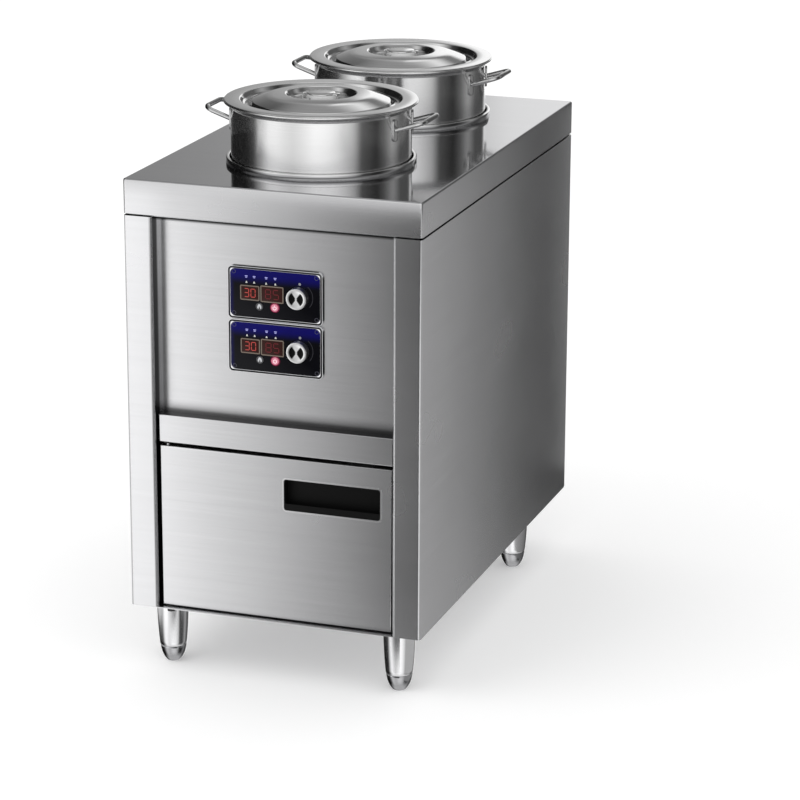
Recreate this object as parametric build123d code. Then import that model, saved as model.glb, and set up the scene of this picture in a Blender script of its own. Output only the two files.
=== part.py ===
from build123d import *
import math
import os

# Soup station: a cabinet on four feet with two lidded pots standing in heated wells.
# Millimetres. Origin on the floor under the centre of the cabinet.
# +X is to the right seen from the front, +Y to the back, +Z up.

# Cabinet
width = 480.0
depth = 800.0
worktop_height = 790.0
leg_height = 103.0
apron_height = 54.0
shadow_gap = 3.0
worktop_sheet = 1.5
panel_sheet = 1.2
corner_radius = 5.0
worktop_edge_radius = 3.0
rear_inset = 3.0
rear_return = 18.0
floor_flange = 20.0

# Underframe behind the shadow gap
underframe_inset = 8.0
underframe_flange = 24.0
underframe_sheet = 1.5

# Front
stile_width = 46.0
fascia_recess = 30.0
door_recess = 10.0
rail_from_top = 314.5
rail_height = 44.5
rail_side_gap = 2.0
door_thickness = 18.8
door_side_gap = 3.5
door_top_gap = 5.5
door_bottom_gap = 1.8
fold_radius = 2.5
liner_sheet = 1.0
liner_flange = 12.0

# Door hinge, pull and catch
hinge_from_edge = 11.0
hinge_from_face = 8.0
pin_radius = 3.0
pin_clearance = 0.05
pin_reach = 9.0
pin_block = 14.0
pin_block_height = 8.0
bush_radius = 6.0
bush_flange_radius = 8.0
bush_flange = 1.2
bush_length = 10.0
pull_width = 162.0
pull_height = 55.0
pull_right_margin = 16.0
pull_from_top = 58.0
pull_radius = 4.0
pull_depth = 15.5
pull_wall = 1.6
pull_lip = 9.0
trim_width = 2.6
trim_thickness = 0.8
catch_width = 40.0
catch_height = 14.0
catch_plate = 2.0
catch_gap = 0.4

# Pots
pot_radius = 140.4
pot_height = 286.7
pot_above_worktop = 97.7
pot_wall = 1.0
pot_base_thickness = 6.0
pot_base_inset = 6.0
pot_flare = 9.4
pot_flare_height = 10.0
pot_roll_radius = 1.6
front_slack_share = 0.159
rear_slack_share = 0.1887

# Pot handles
handle_rod_radius = 3.8
handle_half_span = 41.0
handle_tip_half_span = 37.0
handle_reach = 39.0
handle_corner_radius = 16.0
handle_root_below_rim = 33.0
handle_tip_below_rim = 19.0
spade_width = 13.0
spade_height = 35.0
spade_thickness = 2.4

# Lids
lid_gap = 0.3
lid_sheet = 0.8
lid_ring_inner = 126.0
groove_outer = 121.5
groove_inner = 111.5
groove_depth = 9.0
dome_foot = 107.0
dome_foot_drop = 3.0
dome_crest_radius = 55.0
dome_crest_height = 8.0
dish_radius = 49.0
dish_drop = 3.0
lip_clearance = 2.4
lip_depth = 7.0

# Lid handles
strap_half_length = 29.0
strap_end_width = 15.0
strap_waist = 11.0
strap_plate_radius = 22.0
strap_thickness = 2.4
strap_rise = 11.5

# Wells
pot_to_collar = 2.4
pot_to_well = 3.1
well_wall = 1.0
well_flange = 2.5
cutout_clearance = 0.5
collar_height = 9.6
collar_wall = 0.9
collar_clearance = 0.1
collar_edge_radius = 1.2
glass_radius = 135.0
glass_thickness = 4.0
well_mouth_radius = 116.0
coil_outer = 110.0
coil_inner = 28.0
coil_thickness = 6.0
coil_to_glass = 6.0
carrier_thickness = 7.0
carrier_arm = 14.0
carrier_boss_radius = 5.0
carrier_boss_from_centre = 128.0

# Control modules
module_x = -3.2
module_from_top = 111.8
module_pitch = 84.0
bezel_width = 153.0
bezel_height = 82.5
bezel_radius = 7.0
bezel_rim = 3.4
bezel_thickness = 5.0
face_setback = 0.6
face_thickness = 2.0
face_clearance = 0.15
housing_width = 140.0
housing_height = 70.0
housing_depth = 28.0
housing_wall = 2.0
housing_clearance = 0.5
board_margin = 4.0
board_thickness = 1.6
board_behind_face = 10.4
post_radius = 3.0
window_clearance = 0.1
left_window = (29.0, 21.0)
right_window = (35.0, 23.5)
left_window_at = (-41.0, 0.6)
right_window_at = (-5.0, 1.0)
function_key_at = (-25.2, -19.4)
power_key_at = (-0.4, -19.2)
key_radius = 6.0
key_clearance = 0.3
key_proud = 1.5
key_collar = 1.2
key_collar_height = 1.0
key_stem_radius = 2.0
key_travel = 0.8
switch_size = 6.0
switch_height = 3.5
knob_at = (38.8, 0.7)
knob_radius = 16.5
knob_height = 13.5
knob_gap = 0.8
knob_hollow_radius = 7.0
knob_hollow_depth = 3.5
shaft_radius = 3.0
shaft_clearance = 0.05
shaft_depth = 10.0
bushing_radius = 4.5
bushing_proud = 2.4
potentiometer_size = 13.0
potentiometer_height = 6.5

# Power units on the divider shelf
power_unit_width = 190.0
power_unit_depth = 150.0
power_unit_base = 20.0
heat_sink_width = 120.0
heat_sink_depth = 80.0
fin_height = 34.0
fin_thickness = 2.0
fin_count = 13
power_unit_from_front = 185.0
power_unit_from_back = 250.0

# Cooling fans behind the back panel's slots
fan_size = 92.0
fan_depth = 25.0
fan_bore_radius = 43.0
fan_hub_radius = 17.0
fan_x = 95.0
fan_from_top = 173.0
fan_pin_radius = 1.5
fan_blade_count = 7
fan_blade_clearance = 2.0
slot_height = 3.6
slot_width = 76.0
slot_pitch = 9.0
slot_count = 9

# Mains entry
gland_from_side = 90.0
gland_from_back = 70.0
gland_hole_radius = 8.0
gland_hex_radius = 13.5
gland_drop = 22.0
cable_bore_radius = 4.5
terminal_length = 62.0
terminal_depth = 24.0
terminal_height = 22.0
terminal_z = 190.0

# Legs
leg_side_inset = 50.0
front_leg_inset = 50.0
rear_leg_inset = 148.0
leg_top_radius = 25.4
leg_bottom_radius = 21.6
foot_height = 27.0
foot_gap = 0.3
foot_shoulder_radius = 20.6
foot_flat_radius = 10.5
foot_stem_radius = 8.0
foot_stem_clearance = 0.05
foot_stem_length = 40.0
stud_radius = 5.0
stud_length = 16.0
stud_clearance = 0.2
nut_across_corners = 10.0
nut_height = 8.0

# Back panel screws
screw_head_radius = 3.6
screw_head_height = 2.0
screw_shank_radius = 1.9
screw_clearance = 0.1
screw_length = 7.0
screw_rows = 4

# Planes and faces worked out from the sizes above
side = width / 2
front = -depth / 2
back = depth / 2
panel_back = back - rear_inset
apron_bottom = worktop_height - apron_height
panel_top = apron_bottom - shadow_gap
floor_top = leg_height + panel_sheet
jamb = side - stile_width
inner_side = side - panel_sheet
fascia_front = front + fascia_recess
fascia_back = fascia_front + panel_sheet
back_panel_face = panel_back - panel_sheet
back_panel_inner = back_panel_face - panel_sheet
rail_top = panel_top - rail_from_top
rail_bottom = rail_top - rail_height
shelf_bottom = rail_top - panel_sheet
door_front = front + door_recess
door_back = door_front + door_thickness
door_half_width = jamb - door_side_gap
door_top = rail_bottom - door_top_gap
door_bottom = floor_top + door_bottom_gap
hinge_x = -door_half_width + hinge_from_edge
hinge_y = door_front + hinge_from_face
rim_z = worktop_height + pot_above_worktop
pot_bottom = rim_z - pot_height
rim_radius = pot_radius + pot_flare + pot_roll_radius
well_inner = pot_radius + pot_to_well
well_outer = well_inner + well_wall
cutout_radius = well_outer + cutout_clearance
flange_radius = well_outer + well_flange
# What the front housings, the wells, the pot rims and the rear crossmember leave of the depth
# is shared out before, between and behind the two pots.
pot_slack = (depth - fascia_recess - housing_depth - underframe_inset - underframe_flange
             - 2 * (well_outer + rim_radius))
front_pot_y = (front + fascia_recess + housing_depth + front_slack_share * pot_slack
               + well_outer)
rear_pot_y = (back - underframe_inset - underframe_flange - rear_slack_share * pot_slack
              - well_outer)
collar_inner = pot_radius + pot_to_collar
collar_outer = flange_radius + collar_clearance + collar_wall
glass_bottom = pot_bottom - glass_thickness
well_floor = glass_bottom - well_wall
coil_top = glass_bottom - coil_to_glass
carrier_top = coil_top - coil_thickness
bezel_front = fascia_front - bezel_thickness
face_front = bezel_front + face_setback
face_back = face_front + face_thickness
board_front = face_back + board_behind_face
board_back = board_front + board_thickness
housing_back = fascia_front + housing_depth
pull_x = (door_half_width - pull_right_margin - pull_width,
          door_half_width - pull_right_margin)
pull_z = (door_top - pull_from_top - pull_height / 2,
          door_top - pull_from_top + pull_height / 2)
leg_places = {
    "front_left": (-side + leg_side_inset, front + front_leg_inset),
    "front_right": (side - leg_side_inset, front + front_leg_inset),
    "rear_left": (-side + leg_side_inset, back - rear_leg_inset),
    "rear_right": (side - leg_side_inset, back - rear_leg_inset),
}
pot_places = {"front": front_pot_y, "rear": rear_pot_y}
upper_module_z = panel_top - module_from_top
fan_z = panel_top - fan_from_top
gland_x = side - gland_from_side
gland_y = back - gland_from_back
module_places = {"upper": upper_module_z, "lower": upper_module_z - module_pitch}
screw_places = [
    (sign * (side - rear_return / 2), floor_top + floor_flange
     + (row + 0.5) * (panel_top - floor_top - floor_flange) / screw_rows)
    for sign in (-1, 1) for row in range(screw_rows)
]

os.makedirs("parts", exist_ok=True)


# Helpers

def save(name, *solids):
    """Write one sub-part, as one solid or as a group of like solids."""
    shape = solids[0] if len(solids) == 1 else Compound(children=list(solids))
    export_step(shape, f"parts/{name}.step")


def block(x, y, z):
    """A box between two corners, each axis given as a low and high pair."""
    middle = [(low + high) / 2 for low, high in (x, y, z)]
    size = [high - low for low, high in (x, y, z)]
    return Pos(*middle) * Box(*size)


def disc(radius, low, high, x=0.0, y=0.0):
    """An upright cylinder between two heights."""
    return Pos(x, y, (low + high) / 2) * Cylinder(radius, high - low)


def rod_along_y(radius, y_low, y_high, x, z):
    """A cylinder that runs front to back."""
    middle = Pos(x, (y_low + y_high) / 2, z)
    return middle * Rot(90, 0, 0) * Cylinder(radius, y_high - y_low)


def slab(x_width, z_height, radius, y_low, y_high, x=0.0, z=0.0):
    """A plate with rounded corners that faces the front."""
    outline = RectangleRounded(x_width, z_height, radius)
    plate = extrude(Plane.XZ * outline, amount=-(y_high - y_low))
    return Pos(x, y_low, z) * plate


def tray(x, y, z, wall, radius):
    """Folded sheet with a front face and four returns, open to the back."""
    outer = block(x, y, z)
    outer = fillet(outer.faces().sort_by(Axis.Y)[0].edges(), radius)
    inner = block((x[0] + wall, x[1] - wall), (y[0] + wall, y[1] + wall),
                  (z[0] + wall, z[1] - wall))
    inner = fillet(inner.faces().sort_by(Axis.Y)[0].edges(), max(radius - wall, wall / 4))
    return outer - inner


def turned(outline):
    """A round piece from its half section, drawn as radius and height."""
    return revolve(Plane.XZ * make_face(outline), Axis.Z)


def spun_sheet(points, radii, thickness):
    """A round sheet piece from the middle line of its half section."""
    section = trace(FilletPolyline(*points, radius=radii), line_width=thickness)
    return revolve(Plane.XZ * section, Axis.Z)


# Worktop and underframe

def worktop():
    outer = block((-side, side), (front, back), (apron_bottom, worktop_height))
    outer = fillet(outer.edges().filter_by(Axis.Z), corner_radius)
    outer = fillet(outer.faces().sort_by(Axis.Z)[-1].edges(), worktop_edge_radius)
    inner = block((-side + worktop_sheet, side - worktop_sheet),
                  (front + worktop_sheet, back - worktop_sheet),
                  (apron_bottom - 1, worktop_height - worktop_sheet))
    inner = fillet(inner.edges().filter_by(Axis.Z), corner_radius - worktop_sheet)
    sheet = outer - inner
    for y in pot_places.values():
        sheet -= disc(cutout_radius, worktop_height - 10, worktop_height + 10, 0, y)
    return sheet


def channel(length):
    """A C section along X, web at y = 0 and flanges towards +Y, between panel and worktop."""
    low, high = panel_top, worktop_height - worktop_sheet
    web = block((-length / 2, length / 2), (0, underframe_sheet), (low, high))
    for z in ((low, low + underframe_sheet), (high - underframe_sheet, high)):
        web += block((-length / 2, length / 2), (0, underframe_flange), z)
    return web


def underframe():
    cross = channel(2 * (side - underframe_inset))
    web_y = front + underframe_inset
    save("front_crossmember", Pos(0, web_y, 0) * cross)
    save("rear_crossmember", Rot(0, 0, 180) * Pos(0, web_y, 0) * cross)
    rail = channel(depth - 2 * (underframe_inset + underframe_flange))
    rail = Rot(0, 0, -90) * Pos(0, -side + underframe_inset, 0) * rail
    save("left_underframe_rail", rail)
    save("right_underframe_rail", Rot(0, 0, 180) * rail)


# Cabinet shell

def side_panel():
    """Right side: jamb, stile and side in one folded sheet, with a return at the back."""
    half = panel_sheet / 2
    path = FilletPolyline(
        (jamb + half, fascia_back),
        (jamb + half, front + half),
        (side - half, front + half),
        (side - half, panel_back - half),
        (side - rear_return, panel_back - half),
        radius=[corner_radius - half, corner_radius - half, fold_radius - half],
    )
    sheet = extrude(trace(path, line_width=panel_sheet), amount=panel_top - floor_top)
    sheet = Pos(0, 0, floor_top) * sheet
    for x, z in screw_places:
        if x > 0:
            sheet -= rod_along_y(screw_shank_radius + screw_clearance,
                                 back_panel_inner - 1, panel_back + 1, x, z)
    return sheet


def back_panel():
    reach = side - fold_radius
    sheet = block((-reach, reach), (back_panel_inner, back_panel_face), (floor_top, panel_top))
    for x, z in screw_places:
        sheet -= rod_along_y(screw_shank_radius + screw_clearance,
                             back_panel_inner - 1, panel_back + 1, x, z)
    for centre in (-fan_x, fan_x):
        for row in range(slot_count):
            z = fan_z + (row - (slot_count - 1) / 2) * slot_pitch
            sheet -= slab(slot_width, slot_height, slot_height / 2 - 0.01,
                          back_panel_inner - 1, back_panel_face + 1, centre, z)
    return sheet


def bottom_panel():
    plate = block((-side, side), (front, panel_back), (leg_height, floor_top))
    plate = fillet(plate.edges().filter_by(Axis.Z), corner_radius)
    wall_top = floor_top + floor_flange
    start = fascia_back + corner_radius
    for low, high in ((-inner_side, -inner_side + panel_sheet),
                      (inner_side - panel_sheet, inner_side)):
        plate += block((low, high), (start, back_panel_inner), (floor_top, wall_top))
    plate += block((-inner_side, inner_side), (back_panel_inner - panel_sheet, back_panel_inner),
                   (floor_top, wall_top))
    for x, y in leg_places.values():
        plate -= disc(stud_radius + stud_clearance, leg_height - 1, floor_top + 1, x, y)
    plate -= disc(gland_hole_radius + stud_clearance, leg_height - 1, floor_top + 1,
                  gland_x, gland_y)
    plate -= disc(bush_radius + pin_clearance, leg_height - 1, floor_top + 1, hinge_x, hinge_y)
    return plate


def divider_shelf():
    plate = block((-inner_side, inner_side), (fascia_back, back_panel_inner),
                  (shelf_bottom, rail_top))
    plate += block((-jamb, jamb), (fascia_back, fascia_back + panel_sheet),
                   (rail_bottom + pin_clearance, shelf_bottom))
    for low, high in ((-inner_side, -inner_side + panel_sheet),
                      (inner_side - panel_sheet, inner_side)):
        plate += block((low, high), (fascia_back + corner_radius, back_panel_inner),
                       (shelf_bottom - floor_flange, shelf_bottom))
    return plate


def mid_rail():
    reach = jamb - rail_side_gap
    rail = tray((-reach, reach), (door_front, fascia_back), (rail_bottom, rail_top),
                panel_sheet, fold_radius)
    return rail - disc(bush_radius + pin_clearance, rail_bottom - 1, rail_bottom + 3,
                       hinge_x, hinge_y)


def control_fascia():
    plate = block((-jamb, jamb), (fascia_front, fascia_back), (rail_top, panel_top))
    for z in module_places.values():
        plate -= slab(housing_width + 2 * housing_clearance,
                      housing_height + 2 * housing_clearance, bezel_rim,
                      fascia_front - 1, fascia_back + 1, module_x, z)
    return plate


# Door

def door_skin():
    skin = tray((-door_half_width, door_half_width), (door_front, door_back),
                (door_bottom, door_top), panel_sheet, fold_radius)
    centre_x = sum(pull_x) / 2
    centre_z = sum(pull_z) / 2
    opening = slab(pull_width - 2 * trim_width + 2 * housing_clearance,
                   pull_height - 2 * trim_width + 2 * housing_clearance, pull_radius,
                   door_front - 1, door_front + panel_sheet + 1, centre_x, centre_z)
    skin -= opening
    for low, high in ((door_bottom - 1, door_bottom + 2 * panel_sheet),
                      (door_top - 2 * panel_sheet, door_top + 1)):
        skin -= disc(pin_radius + stud_clearance, low, high, hinge_x, hinge_y)
    return skin


def door_liner():
    x = door_half_width - panel_sheet
    low, high = door_bottom + panel_sheet, door_top - panel_sheet
    outer = block((-x, x), (door_back - liner_flange, door_back), (low, high))
    inner = block((-x + liner_sheet, x - liner_sheet),
                  (door_back - liner_flange - 1, door_back - liner_sheet),
                  (low + liner_sheet, high - liner_sheet))
    liner = outer - inner
    reach = pin_block / 2 + stud_clearance
    for z in ((low - 1, low + pin_block_height + stud_clearance),
              (high - pin_block_height - stud_clearance, high + 1)):
        liner -= block((hinge_x - reach, hinge_x + reach),
                       (door_back - liner_flange - 1, door_back - liner_sheet), z)
    return liner


def door_pull():
    centre_x = sum(pull_x) / 2
    centre_z = sum(pull_z) / 2
    cup_width = pull_width - 2 * trim_width
    cup_height = pull_height - 2 * trim_width
    inside_width = cup_width - 2 * pull_wall
    inside_height = cup_height - 2 * pull_wall
    cup = slab(cup_width, cup_height, pull_radius, door_front, door_front + pull_depth,
               centre_x, centre_z)
    cup -= slab(inside_width, inside_height, pull_radius - pull_wall,
                door_front - 1, door_front + pull_depth - pull_wall, centre_x, centre_z)
    lip_z = centre_z - inside_height / 2
    cup += block((centre_x - inside_width / 2, centre_x + inside_width / 2),
                 (door_front, door_front + pull_wall), (lip_z, lip_z + pull_lip))
    return cup


def door_pull_trim():
    centre_x = sum(pull_x) / 2
    centre_z = sum(pull_z) / 2
    ring = slab(pull_width, pull_height, pull_radius + trim_width,
                door_front - trim_thickness, door_front, centre_x, centre_z)
    return ring - slab(pull_width - 2 * trim_width, pull_height - 2 * trim_width, pull_radius,
                       door_front - trim_thickness - 1, door_front + 1, centre_x, centre_z)


def hinge_pin(end, into):
    """A pivot pin and its block inside the door, from the door's top or bottom edge."""
    inside = end - into * panel_sheet
    root = inside - into * pin_block_height
    tip = end + into * pin_reach
    pin = disc(pin_radius, min(root, tip), max(root, tip), hinge_x, hinge_y)
    half = pin_block / 2
    block_z = (min(root, inside), max(root, inside))
    low_y = door_front + fold_radius
    return pin + block((hinge_x - half, hinge_x + half),
                       (low_y, door_back - liner_sheet), block_z)


def hinge_bush(seat, into):
    """A flanged bush; the flange faces the door and the body goes through the sheet."""
    flange_face = seat - into * bush_flange
    end = seat + into * bush_length
    bush = disc(bush_radius, min(seat, end), max(seat, end), hinge_x, hinge_y)
    bush += disc(bush_flange_radius, min(seat, flange_face), max(seat, flange_face),
                 hinge_x, hinge_y)
    return bush - disc(pin_radius + pin_clearance, min(end, flange_face) - 1,
                       max(end, flange_face) + 1, hinge_x, hinge_y)


def magnet_catch():
    centre = door_half_width - pull_right_margin - catch_width
    x = (centre - catch_width / 2, centre + catch_width / 2)
    plate_front = fascia_back + panel_sheet
    low = door_top - catch_height - liner_flange
    catch = block(x, (plate_front, plate_front + catch_plate), (low, shelf_bottom - panel_sheet))
    return catch + block(x, (door_back + catch_gap, plate_front + catch_plate),
                         (low, low + catch_height))


# Pots and lids, drawn with the pot's axis on Z and its rim at z = 0

def pot():
    half = pot_wall / 2
    base_top = -pot_height + pot_base_thickness
    wall_r = pot_radius - half
    roll_at = pot_radius + pot_flare
    shell = spun_sheet(
        [(0, base_top + half), (wall_r, base_top + half), (wall_r, -pot_flare_height),
         (roll_at, -pot_roll_radius)],
        [8.0, 4.0], pot_wall)
    base = disc(pot_radius - pot_base_inset, -pot_height, base_top)
    base = chamfer(base.faces().sort_by(Axis.Z)[0].edges(), pot_wall)
    roll = Pos(0, 0, -pot_roll_radius) * Torus(roll_at, pot_roll_radius)
    return shell + base + roll


def pot_handle():
    """Bent rod on the pot's +X side, welded on through two flattened spades."""
    root_x = math.sqrt(pot_radius ** 2 - handle_half_span ** 2)
    tip_x = pot_radius + handle_reach
    path = FilletPolyline(
        (root_x, -handle_half_span, -handle_root_below_rim),
        (tip_x, -handle_tip_half_span, -handle_tip_below_rim),
        (tip_x, handle_tip_half_span, -handle_tip_below_rim),
        (root_x, handle_half_span, -handle_root_below_rim),
        radius=handle_corner_radius)
    section = Plane(origin=path @ 0, z_dir=path % 0) * Circle(handle_rod_radius)
    handle = sweep(section, path=path)
    spade_middle = -handle_root_below_rim
    ring = disc(pot_radius + spade_thickness, spade_middle - spade_height / 2,
                spade_middle + spade_height / 2)
    spades = None
    for sign in (-1, 1):
        angle = math.degrees(math.asin(sign * handle_half_span / pot_radius))
        blank = RectangleRounded(spade_height, spade_width, spade_width / 2 - 0.2)
        cutter = extrude(blank, amount=4 * spade_width)
        cutter = Rot(0, 0, angle) * Pos(pot_radius - 2 * spade_width, 0, spade_middle) \
            * Rot(0, 90, 0) * cutter
        spade = ring & cutter
        spades = spade if spades is None else spades + spade
    return (handle + spades) - disc(pot_radius, -pot_height, 0)


def lid():
    half = lid_sheet / 2
    ring_z = lid_gap + half
    outer = pot_radius + pot_flare
    sheet = spun_sheet(
        [(0, ring_z - dish_drop), (dish_radius, ring_z - dish_drop),
         (dome_crest_radius, ring_z + dome_crest_height),
         ((dome_crest_radius + dome_foot) / 2, ring_z + 0.7 * dome_crest_height),
         (dome_foot, ring_z - dome_foot_drop),
         (groove_inner, ring_z - groove_depth), (groove_outer, ring_z - groove_depth),
         (lid_ring_inner, ring_z), (outer, ring_z)],
        [2.5, 3.0, 60.0, 2.0, 2.0, 2.0, 2.0], lid_sheet)
    lip_outer = pot_radius - pot_wall - lip_clearance
    lip = disc(lip_outer, -lip_depth, ring_z) - disc(lip_outer - lid_sheet, -lip_depth - 1,
                                                     ring_z + 1)
    return sheet + lip


def lid_handle():
    """Strap with a wide middle, standing on two posts in the lid's dish."""
    floor = lid_gap + lid_sheet - dish_drop
    top = floor + strap_rise
    plan = Rectangle(2 * strap_half_length, strap_waist)
    plan += Circle(strap_plate_radius)
    for sign in (-1, 1):
        plan += Pos(sign * (strap_half_length - strap_waist / 4), 0) * Rectangle(
            strap_waist / 2, strap_end_width)
    strap = extrude(plan, amount=strap_thickness)
    strap = fillet(strap.faces().sort_by(Axis.Z)[-1].edges(), strap_thickness / 4)
    strap = Pos(0, 0, top - strap_thickness) * strap
    for sign in (-1, 1):
        outer = sign * strap_half_length
        inner = outer - sign * strap_thickness
        strap += block((min(outer, inner), max(outer, inner)),
                       (-strap_end_width / 2, strap_end_width / 2),
                       (floor, top - strap_thickness / 2))
        toe = outer - sign * strap_waist
        strap += block((min(outer, toe), max(outer, toe)),
                       (-strap_end_width / 2, strap_end_width / 2),
                       (floor, floor + strap_thickness / 2))
    return strap


# Wells, drawn with the pot's axis on Z

def well():
    flange_z = worktop_height + well_wall
    pan = disc(well_outer, well_floor, flange_z) - disc(well_inner, glass_bottom, flange_z + 1)
    pan -= disc(well_mouth_radius, well_floor - 1, glass_bottom + 1)
    flange = disc(flange_radius, worktop_height, flange_z) - disc(
        well_inner, worktop_height - 1, flange_z + 1)
    return pan + flange


def well_collar():
    top = worktop_height + collar_height
    ring = disc(collar_outer, worktop_height, top)
    ring -= disc(flange_radius + collar_clearance, worktop_height - 1,
                 worktop_height + well_wall)
    ring -= disc(collar_inner, worktop_height - 1, top + 1)
    return fillet(ring.faces().sort_by(Axis.Z)[-1].edges(), collar_edge_radius)


def coil_carrier():
    carrier = disc(coil_outer + 2, carrier_top - carrier_thickness, carrier_top)
    for turn in range(4):
        arm = block((0, carrier_boss_from_centre), (-carrier_arm / 2, carrier_arm / 2),
                    (carrier_top - carrier_thickness, carrier_top))
        arm += disc(carrier_boss_radius, carrier_top - carrier_thickness, well_floor,
                    carrier_boss_from_centre, 0)
        carrier += Rot(0, 0, 45 + 90 * turn) * arm
    return carrier


def wells():
    for name, y in pot_places.items():
        save(f"{name}_well", Pos(0, y, 0) * well())
        save(f"{name}_well_collar", Pos(0, y, 0) * well_collar())
    places = [Pos(0, y, 0) for y in pot_places.values()]
    glass = disc(glass_radius, glass_bottom, pot_bottom)
    coil = disc(coil_outer, carrier_top, coil_top) - disc(coil_inner, carrier_top - 1,
                                                         coil_top + 1)
    save("hob_glasses", *[place * glass for place in places])
    save("induction_coils", *[place * coil for place in places])
    save("coil_carriers", *[place * coil_carrier() for place in places])


# Control modules

def key_hole(at, z, y_low, y_high):
    return rod_along_y(key_radius + key_clearance, y_low, y_high, module_x + at[0], z + at[1])


def control_bezel(z):
    """Bright frame round the face, with the housing behind it and posts for the board."""
    ring = slab(bezel_width, bezel_height, bezel_radius, bezel_front, fascia_front,
                module_x, z)
    ring = fillet(ring.faces().sort_by(Axis.Y)[0].edges(), face_setback)
    ring -= slab(bezel_width - 2 * bezel_rim, bezel_height - 2 * bezel_rim,
                 bezel_radius - bezel_rim, bezel_front - 1, face_back, module_x, z)
    box = slab(housing_width, housing_height, bezel_rim, fascia_front, housing_back,
               module_x, z)
    inside_width = housing_width - 2 * housing_wall
    inside_height = housing_height - 2 * housing_wall
    body = ring + box
    body -= slab(inside_width, inside_height, bezel_rim - housing_wall, bezel_front - 1,
                 housing_back - housing_wall, module_x, z)
    post_x = inside_width / 2 - board_margin - post_radius
    post_z = inside_height / 2 - board_margin - post_radius
    for dx in (-post_x, post_x):
        for dz in (-post_z, post_z):
            body += rod_along_y(post_radius, board_back, housing_back - housing_wall / 2,
                                module_x + dx, z + dz)
    return body


def control_face(z):
    inset = bezel_rim + face_clearance
    plate = slab(bezel_width - 2 * inset, bezel_height - 2 * inset, bezel_radius - bezel_rim,
                 face_front, face_back, module_x, z)
    low, high = face_front - 1, face_back + 1
    for size, at in ((left_window, left_window_at), (right_window, right_window_at)):
        plate -= block((module_x + at[0] - size[0] / 2, module_x + at[0] + size[0] / 2),
                       (low, high), (z + at[1] - size[1] / 2, z + at[1] + size[1] / 2))
    for at in (function_key_at, power_key_at):
        plate -= key_hole(at, z, low, high)
    plate -= rod_along_y(bushing_radius + face_clearance, low, high,
                         module_x + knob_at[0], z + knob_at[1])
    return plate


def display_window(size, at, z):
    half_x = size[0] / 2 - window_clearance
    half_z = size[1] / 2 - window_clearance
    x = module_x + at[0]
    return block((x - half_x, x + half_x), (face_front, board_front),
                 (z + at[1] - half_z, z + at[1] + half_z))


def control_board(z):
    """Board with the two key switches on its front."""
    inside_width = housing_width - 2 * (housing_wall + board_margin)
    inside_height = housing_height - 2 * (housing_wall + board_margin)
    board = slab(inside_width, inside_height, board_thickness, board_front, board_back,
                 module_x, z)
    for at in (function_key_at, power_key_at):
        x, w = module_x + at[0], z + at[1]
        board += block((x - switch_size / 2, x + switch_size / 2),
                       (board_front - switch_height, board_front),
                       (w - switch_size / 2, w + switch_size / 2))
    return board


def dial_potentiometer(z):
    x, w = module_x + knob_at[0], z + knob_at[1]
    half = potentiometer_size / 2
    body = block((x - half, x + half), (board_front - potentiometer_height, board_front),
                 (w - half, w + half))
    nose = face_front - bushing_proud
    body += rod_along_y(bushing_radius, nose, board_front - potentiometer_height, x, w)
    return body - rod_along_y(shaft_radius + shaft_clearance, nose - 1,
                              nose + shaft_depth + 1, x, w)


def dial_knob(z):
    """Metal knob with its shaft, hollow at the back over the bushing."""
    x, w = module_x + knob_at[0], z + knob_at[1]
    knob_back = face_front - knob_gap
    knob_front = knob_back - knob_height
    cap = rod_along_y(knob_radius, knob_front, knob_back, x, w)
    cap = fillet(cap.faces().sort_by(Axis.Y)[0].edges(), face_setback)
    cap -= rod_along_y(knob_hollow_radius, knob_back - knob_hollow_depth, knob_back + 1, x, w)
    nose = face_front - bushing_proud
    return cap + rod_along_y(shaft_radius, knob_front + knob_height / 2, nose + shaft_depth,
                             x, w)


def push_key(at, z):
    x, w = module_x + at[0], z + at[1]
    cap = rod_along_y(key_radius, face_front - key_proud, face_back + key_collar_height, x, w)
    cap = fillet(cap.faces().sort_by(Axis.Y)[0].edges(), face_setback)
    collar_y = face_back + window_clearance
    cap += rod_along_y(key_radius + key_clearance + key_collar, collar_y,
                       collar_y + key_collar_height, x, w)
    switch_top = board_front - switch_height
    stem_end = switch_top - key_travel - window_clearance
    return cap + rod_along_y(key_stem_radius, face_back, stem_end, x, w)


def control_modules():
    rows = list(module_places.values())
    save("control_bezels", *[control_bezel(z) for z in rows])
    save("control_faces", *[control_face(z) for z in rows])
    save("control_boards",
         *[piece(z) for z in rows for piece in (control_board, dial_potentiometer)])
    windows = ((left_window, left_window_at), (right_window, right_window_at))
    save("display_windows", *[display_window(*window, z) for z in rows for window in windows])
    for name, z in module_places.items():
        save(f"{name}_dial_knob", dial_knob(z))
        save(f"{name}_function_key", push_key(function_key_at, z))
        save(f"{name}_power_key", push_key(power_key_at, z))


# Electrics

def power_unit(y):
    """Closed base box with the finned heat sink on top."""
    half_x, half_y = power_unit_width / 2, power_unit_depth / 2
    base_top = rail_top + power_unit_base
    unit = block((-half_x, half_x), (y - half_y, y + half_y), (rail_top, base_top))
    unit += block((-heat_sink_width / 2, heat_sink_width / 2),
                  (y - heat_sink_depth / 2, y + heat_sink_depth / 2),
                  (base_top, base_top + 2 * fin_thickness))
    pitch = (heat_sink_width - fin_thickness) / (fin_count - 1)
    for fin in range(fin_count):
        x = -heat_sink_width / 2 + fin * pitch
        unit += block((x, x + fin_thickness),
                      (y - heat_sink_depth / 2, y + heat_sink_depth / 2),
                      (base_top, base_top + fin_height))
    return unit


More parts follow.
